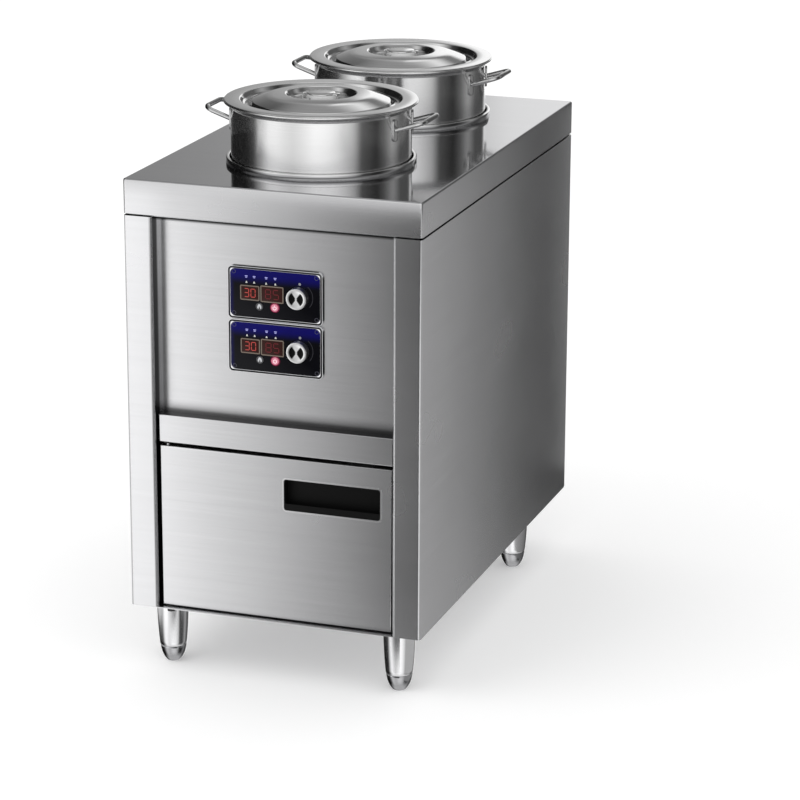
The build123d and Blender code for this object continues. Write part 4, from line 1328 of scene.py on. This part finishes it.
    def marks(self, module):
        """Small printed marks over the displays and beside the knob."""
        pale = self.ink("Blue white ink", (0.42, 0.42, 0.85))
        white = self.ink("White ink", (0.62, 0.62, 0.60))
        grey = self.ink("Grey ink", (0.34, 0.35, 0.37))
        pieces = []
        for x in self.label_marks:
            for row, width in ((0.9, 4.6), (-1.1, 3.4)):
                bar = plate("bar", round_box(width * MM, 1.3 * MM, 0.5 * MM, 3), 0.06 * MM,
                            pale)
                pieces.append(moved(bar, Matrix.Translation((x * MM, 0, (26 + row) * MM))))
        for x in self.pointer_marks:
            outline = [(-1.7 * MM, -1.3 * MM), (1.7 * MM, -1.3 * MM), (0.6 * MM, 1.7 * MM),
                       (-0.6 * MM, 1.7 * MM)]
            mark = plate("mark", outline, 0.06 * MM, white)
            pieces.append(moved(mark, Matrix.Translation((x * MM, 0, 17.2 * MM))))
        spot = plate("spot", [(p.x, p.y) for p in arc((0, 0), 2.1 * MM, 0, 345, 23)],
                     0.06 * MM, grey)
        pieces.append(moved(spot, Matrix.Translation((40.0 * MM, 0, 21.0 * MM))))
        sweep = [(p.x, p.y) for p in arc((0, 0), 22.5 * MM, 50, -40, 20)]
        sweep += [(p.x, p.y) for p in arc((0, 0), 21.7 * MM, -40, 50, 20)]
        scale = plate("scale", sweep, 0.06 * MM, self.ink("Faint ink", (0.05, 0.05, 0.06)))
        pieces.append(moved(scale, Matrix.Translation((38.8 * MM, 0, 0.7 * MM))))
        whole = joined(f"{module}_printed_marks", pieces)
        self.put(whole, 0, 0, 0, "cabinet", "face_black")

    def keys(self, module, settings, key):
        """The grey function key and the lit power key."""
        grey = moulded("Grey key", (0.06, 0.06, 0.065), 0.32, 0.8, 0.006)
        lit = moulded("Lit key", tuple(settings.lit_key_color), 0.30, 0.8, 0.004,
                      Emission_Color=(*settings.lit_key_color, 1.0), Emission_Strength=0.30)
        pale = self.ink("Pale key mark", (0.60, 0.61, 0.63))
        rosy = self.ink("Rosy key mark", (0.95, 0.72, 0.78), 0.10)
        bars = [plate("mark", [(x * MM, z * MM) for x, z in points], 0.10 * MM, pale)
                for points in (((-3.4, -4.0), (-1.6, -4.0), (-0.4, 0.2), (0.4, 0.2), (1.6, -4.0),
                                (3.4, -4.0), (3.2, 0.6), (1.3, 4.2), (-1.3, 4.2), (-3.2, 0.6)),)]
        spot = arc((0, -0.4 * MM), 3.3 * MM, 125, 415, 24) + arc(
            (0, -0.4 * MM), 1.9 * MM, 415, 125, 24)
        dots = [plate("mark", [(p.x, p.y) for p in spot], 0.10 * MM, rosy),
                plate("mark", [(x * MM, z * MM) for x, z in ((-0.6, 0.2), (0.6, 0.2), (0.6, 4.0),
                                                             (-0.6, 4.0))], 0.10 * MM, rosy)]
        places = (("function", -25.2, -19.4, grey, "key_grey"),
                  ("power", -0.4, -19.2, lit, "key_red"))
        for name, x, z, finish, slot in places:
            outline = ([Vector((0, 1.3 * MM, 0)), Vector((3.6 * MM, 1.3 * MM, 0)),
                        Vector((4.2 * MM, 1.5 * MM, 0))]
                       + arc((5.3 * MM, 0.8 * MM), 0.7 * MM, 90, 0, 5)
                       + [Vector((6.0 * MM, -2.1 * MM, 0)), Vector((7.5 * MM, -2.1 * MM, 0)),
                          Vector((7.5 * MM, -3.1 * MM, 0)), Vector((2.0 * MM, -3.1 * MM, 0)),
                          Vector((2.0 * MM, -8.0 * MM, 0)), Vector((0, -8.0 * MM, 0))])
            cap = moved(turned(f"{module}_{name}_cap", outline, finish, 48), FORWARD)
            self.put(cap, x, z, 0, f"{module}_{name}_button", slot, f"{module}_{name}_key")
            mark = joined(f"{module}_{name}_mark", bars if name == "function" else dots)
            self.put(mark, x, z, 1.3, f"{module}_{name}_button", slot)
        glow = self.ink("Key glow", (0.16, 0.006, 0.035), 0.5)
        halo = stepped(f"{module}_power_glow", (15.5 * MM, 15.5 * MM), 7.7 * MM,
                       ((0.0, -0.01 * MM), (0.4 * MM, 0.03 * MM), (1.35 * MM, 0.03 * MM),
                        (1.4 * MM, -0.01 * MM)), glow, ring=True)
        self.put(halo, -0.4, -19.2, 0, "cabinet", "key_red")

    def knob(self, module, settings):
        """A fluted metal knob with a turned face."""
        finish = self.knob_finish(module)
        back, front = 0.8 * MM, 14.3 * MM
        radius = 16.5 * MM
        flutes = settings.flutes
        steps = flutes * 6
        outline = [(1.2, front - 0.5 * MM, 0), (6.0, front - 0.5 * MM, 0),
                   (11.6, front - 0.5 * MM, 0), (12.4, front, 0), (15.4, front, 0),
                   (16.1, front - 0.25 * MM, 0), (16.5, front - 1.2 * MM, 0.2),
                   (16.5, front - 2.2 * MM, 1.0), (16.5, back + 1.6 * MM, 1.0),
                   (16.5, back + 0.8 * MM, 0.2), (16.2, back, 0), (7.0, back, 0),
                   (7.0, back + 3.5 * MM, 0), (3.0, back + 3.5 * MM, 0),
                   (3.0, -7.6 * MM, 0), (0.6, -7.6 * MM, 0)]
        mesh = bmesh.new()
        rings = []
        for reach_mm, height, share in outline:
            ring = []
            for step in range(steps):
                turn = 2 * math.pi * step / steps
                wave = 0.5 - 0.5 * math.cos(flutes * turn)
                out = reach_mm * MM - share * wave * 0.03 * radius
                ring.append(mesh.verts.new((out * math.cos(turn), -height,
                                            out * math.sin(turn))))
            rings.append(ring)
        skin_rings(mesh, rings)
        mesh.faces.new(rings[0])
        mesh.faces.new(rings[-1])
        piece = finished_mesh(f"{module}_fluted_knob", mesh, finish)
        self.put(piece, 38.8, 0.7, 0, f"{module}_dial", "knob_metal", f"{module}_dial_knob")

    def knob_finish(self, module):
        """Bright turned metal with a painted reflection: near black in two side wedges, standing in for
        the bow-tie reflection of a spun face.
        """
        finish = Finish(f"Turned {module} knob", (0.92, 0.92, 0.92), 0.30, 1.0)
        tree = finish.tree
        place = node(tree, "ShaderNodeSeparateXYZ", {0: finish.place})
        across = sum_up(tree, "SUBTRACT", place.outputs["X"], self.centre.x + 38.8 * MM)
        up = sum_up(tree, "SUBTRACT", place.outputs["Z"], self.centre.z + 0.7 * MM)
        squares = sum_up(tree, "ADD", sum_up(tree, "MULTIPLY", across, across),
                         sum_up(tree, "MULTIPLY", up, up))
        radius = sum_up(tree, "SQRT", squares, 0.0)
        side = sum_up(tree, "DIVIDE", sum_up(tree, "ABSOLUTE", across, 0.0), radius)
        # Painted reflection: the colour goes near black in the left and right wedges of the face,
        # between the rim and the hub.
        reflection_wedge = node(tree, "ShaderNodeMapRange",
                     {"Value": side, "From Min": 0.48, "From Max": 0.66},
                     interpolation_type="SMOOTHSTEP").outputs[0]
        inside = node(tree, "ShaderNodeMapRange",
                      {"Value": radius, "From Min": 12.2 * MM, "From Max": 11.4 * MM}).outputs[0]
        hub = node(tree, "ShaderNodeMapRange",
                   {"Value": radius, "From Min": 0.8 * MM, "From Max": 2.2 * MM}).outputs[0]
        painted_reflection_dark = sum_up(tree, "MULTIPLY", sum_up(tree, "MULTIPLY", reflection_wedge, inside), hub)
        color = node(tree, "ShaderNodeMix",
                     {0: painted_reflection_dark, 6: finish.color, 7: (0.012, 0.012, 0.012, 1)},
                     data_type="RGBA").outputs[2]
        finish.color = color
        tree.links.new(color, finish.shader.inputs["Base Color"])
        finish.roughen(finish.group(handling_group, Size=0.01, Amount=0.05).outputs["Change"])
        return finish.material


class STATION_OT_door_pull(StationOperator, bpy.types.Operator):
    """Finishes the recessed pull and its bright frame"""
    bl_idname = "station.door_pull"
    bl_label = "Door pull"

    def execute(self, context):
        black = moulded("Black moulding", (0.004, 0.004, 0.004), 0.50, 0.9, 0.02,
                        Specular_IOR_Level=0.15)
        bright = plain_metal("Bright trim", (0.82, 0.82, 0.83), 0.14)
        placed(dressed_copy("Pull_cup", black, "door_pull", edge=0.5 * MM), "door",
               "pull_black", "door_pull")
        placed(dressed_copy("Pull_frame", bright, "door_pull_trim", edge=0.3 * MM), "door",
               "trim_bright", "door_pull_trim")
        return {"FINISHED"}


class STATION_OT_fittings(StationOperator, bpy.types.Operator):
    """Dresses the parts behind and inside: fans, screws, rails, liner, power units, entry"""
    bl_idname = "station.fittings"
    bl_label = "Fittings behind and inside"

    def execute(self, context):
        steel = context.scene.station_steel
        plated = brushed("Plated inner sheet", (0.52, 0.53, 0.54), 0.34, 400.0, 0.10, 0.10)
        paint(plated, "left_underframe_rail", "right_underframe_rail", "front_crossmember",
              "rear_crossmember", "divider_shelf", "door_liner")
        hardware = plain_metal("Plain hardware", (0.60, 0.60, 0.61), 0.28, 0.10, 0.08)
        paint(hardware, "door_hinge_pins")
        paint(moulded("Black nylon", (0.012, 0.012, 0.012), 0.45), "door_hinge_bushes",
              "door_magnet_catch")
        paint(moulded("Black fan plastic", (0.03, 0.03, 0.032), 0.42), "fan_frames",
              "left_fan_rotor", "right_fan_rotor")
        paint(moulded("Dark moulded carrier", (0.07, 0.07, 0.07), 0.5), "coil_carriers")
        paint(plain_metal("Extruded aluminium", (0.70, 0.70, 0.71), 0.36), "power_units")
        paint(moulded("Gland nylon", (0.03, 0.03, 0.03), 0.40), "cable_gland")
        paint(moulded("White terminal", (0.80, 0.79, 0.74), 0.42), "terminal_block")
        bezel = moulded("Housing plastic", (0.78, 0.78, 0.80), 0.30)
        paint(bezel, "control_bezels")
        self.screws(hardware)
        return {"FINISHED"}

    def screws(self, material):
        """Two columns of crosshead screws along the back panel's edges."""
        low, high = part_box("back_panel_screws")
        head = 3.6 * MM
        screw = self.screw(material, high.y - low.y)
        screw.name = "screw"
        values = {"Piece": screw, "Columns": 2, "Rows": 4,
                  "Width": high.x - low.x - 2 * head, "Height": high.z - low.z - 2 * head,
                  "Middle": Vector(((low.x + high.x) / 2, 0, (low.z + high.z) / 2)),
                  "Material": material}
        rows = grown("Back_screws", grid_tree, values)
        bpy.data.objects.remove(screw)
        face_out(rows)
        placed(rows, "cabinet", "hardware_steel", "back_panel_screws")

    def screw(self, material, length):
        """One domed screw, its shank forward and a cross cut in its head."""
        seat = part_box("back_panel_screws")[1].y - 2.0 * MM
        dome = [Vector((0, -2.0 * MM, 0)), Vector((1.2 * MM, -1.95 * MM, 0)),
                Vector((2.4 * MM, -1.65 * MM, 0)), Vector((3.2 * MM, -1.1 * MM, 0)),
                Vector((3.6 * MM, -0.3 * MM, 0)), Vector((3.6 * MM, 0, 0)),
                Vector((1.9 * MM, 0, 0)), Vector((1.9 * MM, length - 3.0 * MM, 0)),
                Vector((0, length - 2.0 * MM, 0))]
        body = moved(turned("body", dome, material, 28), FORWARD)
        long, thin = 1.8 * MM, 0.4 * MM
        outline = [(thin, long), (-thin, long), (-thin, thin), (-long, thin), (-long, -thin),
                   (-thin, -thin), (-thin, -long), (thin, -long), (thin, -thin),
                   (long, -thin), (long, thin), (thin, thin)]
        cross = moved(plate("cross", outline, 2.4 * MM, material),
                      Matrix.Translation((0, 3.4 * MM, 0)))
        cut = body.modifiers.new("Cross", "BOOLEAN")
        cut.object = cross
        cut.operation = "DIFFERENCE"
        cut.solver = "EXACT"
        bpy.context.view_layer.update()
        graph = bpy.context.evaluated_depsgraph_get()
        mesh = bpy.data.meshes.new_from_object(body.evaluated_get(graph), depsgraph=graph)
        body.modifiers.clear()
        body.data = mesh
        bpy.data.objects.remove(cross)
        return moved(body, Matrix.Translation((0, seat, 0)))


# Stage: floor, soft light, reflecting cards and the camera

class STATION_OT_stage(StationOperator, bpy.types.Operator):
    """Sets up the pale floor, the studio light and the camera"""
    bl_idname = "station.stage"
    bl_label = "Stage"

    around = ((-180, 1.10), (-163.2, 1.10), (-162.2, 0.52), (-160, 0.48), (-157, 0.36),
              (-150, 0.20), (-143, 0.06), (-130, 0.01), (-91, 0.01), (-76, 0.06), (-62, 0.55),
              (-50, 1.07), (-39, 1.10), (-28, 0.97), (-17, 0.88), (-7, 0.97), (2, 1.10),
              (12, 1.25), (22, 1.25), (32, 1.20), (41, 1.08), (51, 0.86), (62, 0.58),
              (72, 0.10), (95, 0.02), (108, 0.12), (123, 0.38), (140, 0.11), (168, 0.10),
              (178, 1.10), (180, 1.10))

    def execute(self, context):
        settings = context.scene.station_stage
        self.sky(context, settings)
        self.floor()
        self.cards()
        self.lamp(context, settings)
        self.camera(context, settings)
        context.scene.view_settings.view_transform = "Standard"
        return {"FINISHED"}

    def sky(self, context, settings):
        """White to the camera, even to matt surfaces, and a studio ring to polished ones."""
        world = bpy.data.worlds.new("Studio")
        context.scene.world = world
        world.use_nodes = True
        tree = world.node_tree
        tree.nodes.clear()
        direction = node(tree, "ShaderNodeTexCoord").outputs["Generated"]
        parts = node(tree, "ShaderNodeSeparateXYZ", {0: direction})
        forward = sum_up(tree, "MULTIPLY", parts.outputs["Y"], -1.0)
        turn = sum_up(tree, "ARCTAN2", parts.outputs["X"], forward)
        share = sum_up(tree, "MULTIPLY_ADD", turn, 1 / (2 * math.pi), 0.5)
        ring = ramp(tree, share, [((angle + 180) / 360, tone / 1.25)
                                  for angle, tone in self.around])
        ring = sum_up(tree, "MULTIPLY", ring, 1.25)
        up = node(tree, "ShaderNodeMapRange",
                  {"Value": parts.outputs["Z"], "From Min": 0.58, "From Max": 0.74}).outputs[0]
        zenith = node(tree, "ShaderNodeMapRange",
                      {"Value": parts.outputs["Z"], "From Min": 0.85, "From Max": 0.97,
                       "To Min": 0.30, "To Max": 0.90}).outputs[0]
        down = node(tree, "ShaderNodeMapRange",
                    {"Value": parts.outputs["Z"], "From Min": -0.7,
                     "From Max": -0.9}).outputs[0]
        rear = node(tree, "ShaderNodeMapRange",
                    {"Value": parts.outputs["Y"], "From Min": 0.78, "From Max": 0.88}).outputs[0]
        rise = node(tree, "ShaderNodeMapRange",
                    {"Value": parts.outputs["Z"], "From Min": 0.27, "From Max": 0.36}).outputs[0]
        ring = node(tree, "ShaderNodeMix", {0: sum_up(tree, "MULTIPLY", rear, rise), 2: ring,
                                            3: 0.20}).outputs[0]
        tone = node(tree, "ShaderNodeMix", {0: up, 2: ring, 3: zenith}).outputs[0]
        tone = node(tree, "ShaderNodeMix", {0: down, 2: tone, 3: 0.82}).outputs[0]
        path = node(tree, "ShaderNodeLightPath")
        mirror = sum_up(tree, "MAXIMUM", path.outputs["Is Glossy Ray"],
                        path.outputs["Is Transmission Ray"])
        strength = node(tree, "ShaderNodeMix", {0: mirror, 2: settings.sky, 3: tone}).outputs[0]
        strength = node(tree, "ShaderNodeMix", {0: path.outputs["Is Camera Ray"],
                                                2: strength, 3: 1.0}).outputs[0]
        light = node(tree, "ShaderNodeBackground", {"Color": (1, 1, 1, 1),
                                                    "Strength": strength})
        output = node(tree, "ShaderNodeOutputWorld")
        tree.links.new(light.outputs[0], output.inputs["Surface"])

    def floor(self):
        """A wide pale floor that keeps the soft shadow."""
        material = bpy.data.materials.new("Pale floor")
        material.use_nodes = True
        tree = material.node_tree
        shader = tree.nodes["Principled BSDF"]
        shader.inputs["Roughness"].default_value = 0.9
        shader.inputs["Base Color"].default_value = (1, 1, 1, 1)
        shader.inputs["Specular IOR Level"].default_value = 0.0
        shader.inputs["Emission Color"].default_value = (1, 1, 1, 1)
        path = node(tree, "ShaderNodeLightPath")
        lift = sum_up(tree, "MULTIPLY", path.outputs["Is Camera Ray"], 0.14)
        tree.links.new(lift, shader.inputs["Emission Strength"])
        floor = panel("Floor", (Vector((-20, -20, 0)), Vector((20, -20, 0)),
                                Vector((20, 20, 0)), Vector((-20, 20, 0))), material)
        floor.visible_glossy = False
        floor.visible_transmission = False

    def cards(self):
        """Graduated reflectors beside the cabinet, seen only by polished surfaces.
        The front card bends in over the door's swing, and its tones lean with the view."""
        lean = math.tan(bpy.context.scene.station_stage.yaw)
        self.card("Front_card", [(x, y, z) for y, z in ((-0.80, -0.17), (-0.80, 0.36),
                                                        (-0.50, 0.752))
                                 for x in (-0.62, 0.36)], (1.0, -lean, -lean * 0.40), (
            (-0.30, 1.40), (-0.215, 1.30), (-0.172, 1.05), (-0.107, 0.90), (-0.025, 0.69),
            (0.057, 0.485), (0.139, 0.288), (0.18, 0.215), (0.24, 0.12), (0.30, 0.10)))
        self.card("Right_card", [(0.36, y, z) for z in (-0.12, 0.745) for y in (-0.45, 3.0)],
                  (0.0, 1.0, -0.351), (
            (-0.50, 0.45), (-0.38, 0.397), (-0.25, 0.327), (-0.12, 0.25), (0.01, 0.177),
            (0.14, 0.100), (0.27, 0.035), (0.36, 0.0)))
        self.card("Left_card", [(-0.64, y, z) for z in (-0.12, 0.64) for y in (-0.60, 0.60)],
                  (0.0, 1.0, 0.0), ((-0.40, 0.75), (0.40, 0.45)))
        self.card("Rear_card", [(x, 0.80, z) for z in (0.0, 0.70) for x in (-0.45, 0.34)],
                  (1.0, 0.0, 0.0), ((-0.24, 0.50), (0.24, 0.70)))

    def card(self, name, corners, slope, stops):
        """A strip of panels in pairs of corners. Its glow follows a slope across the card."""
        material = bpy.data.materials.new(name.replace("_", " "))
        material.use_nodes = True
        material.cycles.emission_sampling = "NONE"
        tree = material.node_tree
        tree.nodes.clear()
        place = node(tree, "ShaderNodeTexCoord").outputs["Object"]
        along = node(tree, "ShaderNodeVectorMath", {0: place, 1: (slope[0], slope[1], 0)},
                     operation="DOT_PRODUCT").outputs["Value"]
        start, end = stops[0][0], stops[-1][0]
        share = node(tree, "ShaderNodeMapRange",
                     {"Value": sum_up(tree, "ADD", along, slope[2]), "From Min": start,
                      "From Max": end}).outputs[0]
        brightest = max(tone for _, tone in stops)
        tone = ramp(tree, share, [((at - start) / (end - start), tone / brightest)
                                  for at, tone in stops])
        glow = node(tree, "ShaderNodeEmission",
                    {"Color": (1, 1, 1, 1), "Strength": sum_up(tree, "MULTIPLY", tone,
                                                               brightest)})
        output = node(tree, "ShaderNodeOutputMaterial")
        tree.links.new(glow.outputs[0], output.inputs["Surface"])
        mesh = bpy.data.meshes.new(name)
        mesh.from_pydata(corners, [], [(index, index + 1, index + 3, index + 2)
                                       for index in range(0, len(corners) - 2, 2)])
        mesh.materials.append(material)
        card = bpy.data.objects.new(name, mesh)
        bpy.context.scene.collection.objects.link(card)
        for kind in ("camera", "diffuse", "transmission", "volume_scatter", "shadow"):
            setattr(card, "visible_" + kind, False)

    def lamp(self, context, settings):
        """One large soft lamp, high in front on the left."""
        data = bpy.data.lights.new("Soft lamp", "AREA")
        data.shape = "RECTANGLE"
        data.size = 2.4
        data.size_y = 1.8
        data.energy = settings.key
        lamp = bpy.data.objects.new("Soft_lamp", data)
        lamp.location = (-1.8, -2.2, 3.0)
        lamp.rotation_euler = (Vector((0, 0, 0.5)) - lamp.location).to_track_quat(
            "-Z", "Y").to_euler()
        lamp.visible_glossy = False
        context.scene.collection.objects.link(lamp)

    def camera(self, context, settings):
        """A long lens in front, to the right and above."""
        yaw, pitch, roll = settings.yaw, settings.pitch, settings.roll
        forward = Vector((-math.sin(yaw) * math.cos(pitch), math.cos(yaw) * math.cos(pitch),
                          -math.sin(pitch)))
        level = Vector((math.cos(yaw), math.sin(yaw), 0))
        upward = level.cross(forward)
        right = level * math.cos(roll) + upward * math.sin(roll)
        top = upward * math.cos(roll) - level * math.sin(roll)
        data = bpy.data.cameras.new("Camera")
        data.lens = settings.lens
        data.sensor_width = 36.0
        camera = bpy.data.objects.new("Camera", data)
        turn = Matrix((right, top, -forward)).transposed().to_4x4()
        place = Vector(settings.target) - forward * settings.distance
        camera.matrix_world = Matrix.Translation(place) @ turn
        context.scene.collection.objects.link(camera)
        context.scene.camera = camera


def ramp(tree, value, stops):
    """A grey ramp's value, from places and tones."""
    made = tree.nodes.new("ShaderNodeValToRGB")
    tree.links.new(value, made.inputs[0])
    elements = made.color_ramp.elements
    for place, tone in stops[1:-1]:
        elements.new(place).color = (tone, tone, tone, 1)
    for element, (place, tone) in ((elements[0], stops[0]), (elements[-1], stops[-1])):
        element.position = place
        element.color = (tone, tone, tone, 1)
    return made.outputs["Color"]


def panel(name, corners, material):
    """A single flat face."""
    mesh = bpy.data.meshes.new(name)
    mesh.from_pydata([tuple(corner) for corner in corners], [], [(0, 1, 2, 3)])
    mesh.materials.append(material)
    made = bpy.data.objects.new(name, mesh)
    bpy.context.scene.collection.objects.link(made)
    return made


# Add-on

STEPS = (STATION_OT_stage, STATION_OT_cabinet, STATION_OT_pots, STATION_OT_lids,
         STATION_OT_wells, STATION_OT_controls, STATION_OT_door_pull, STATION_OT_legs,
         STATION_OT_fittings)


class STATION_PT_sidebar(bpy.types.Panel):
    """The station's settings and steps"""
    bl_idname = "STATION_PT_sidebar"
    bl_label = "Soup station"
    bl_space_type = "VIEW_3D"
    bl_region_type = "UI"
    bl_category = "Soup station"

    def draw(self, context):
        layout = self.layout
        for title, name in SETTINGS:
            box = layout.box()
            box.label(text=title)
            settings = getattr(context.scene, name)
            for field in settings.bl_rna.properties:
                if field.identifier not in ("rna_type", "name"):
                    box.prop(settings, field.identifier)
        for step in STEPS:
            layout.operator(step.bl_idname)


GROUPS = (("Steel", "station_steel", SteelSettings), ("Pots", "station_pots", PotSettings),
          ("Controls", "station_controls", ControlSettings),
          ("Stage", "station_stage", StageSettings))
SETTINGS = tuple((title, name) for title, name, _ in GROUPS)


def register():
    for _, name, group in GROUPS:
        bpy.utils.register_class(group)
        setattr(bpy.types.Scene, name, bpy.props.PointerProperty(type=group))
    for step in (*STEPS, STATION_PT_sidebar):
        bpy.utils.register_class(step)


def unregister():
    for step in reversed((*STEPS, STATION_PT_sidebar)):
        bpy.utils.unregister_class(step)
    for _, name, group in reversed(GROUPS):
        delattr(bpy.types.Scene, name)
        bpy.utils.unregister_class(group)


def main():
    """Registers the add-on and runs its steps in order."""
    register()
    for step in STEPS:
        family, name = step.bl_idname.split(".")
        getattr(getattr(bpy.ops, family), name)()


if __name__ == "__main__":
    main()
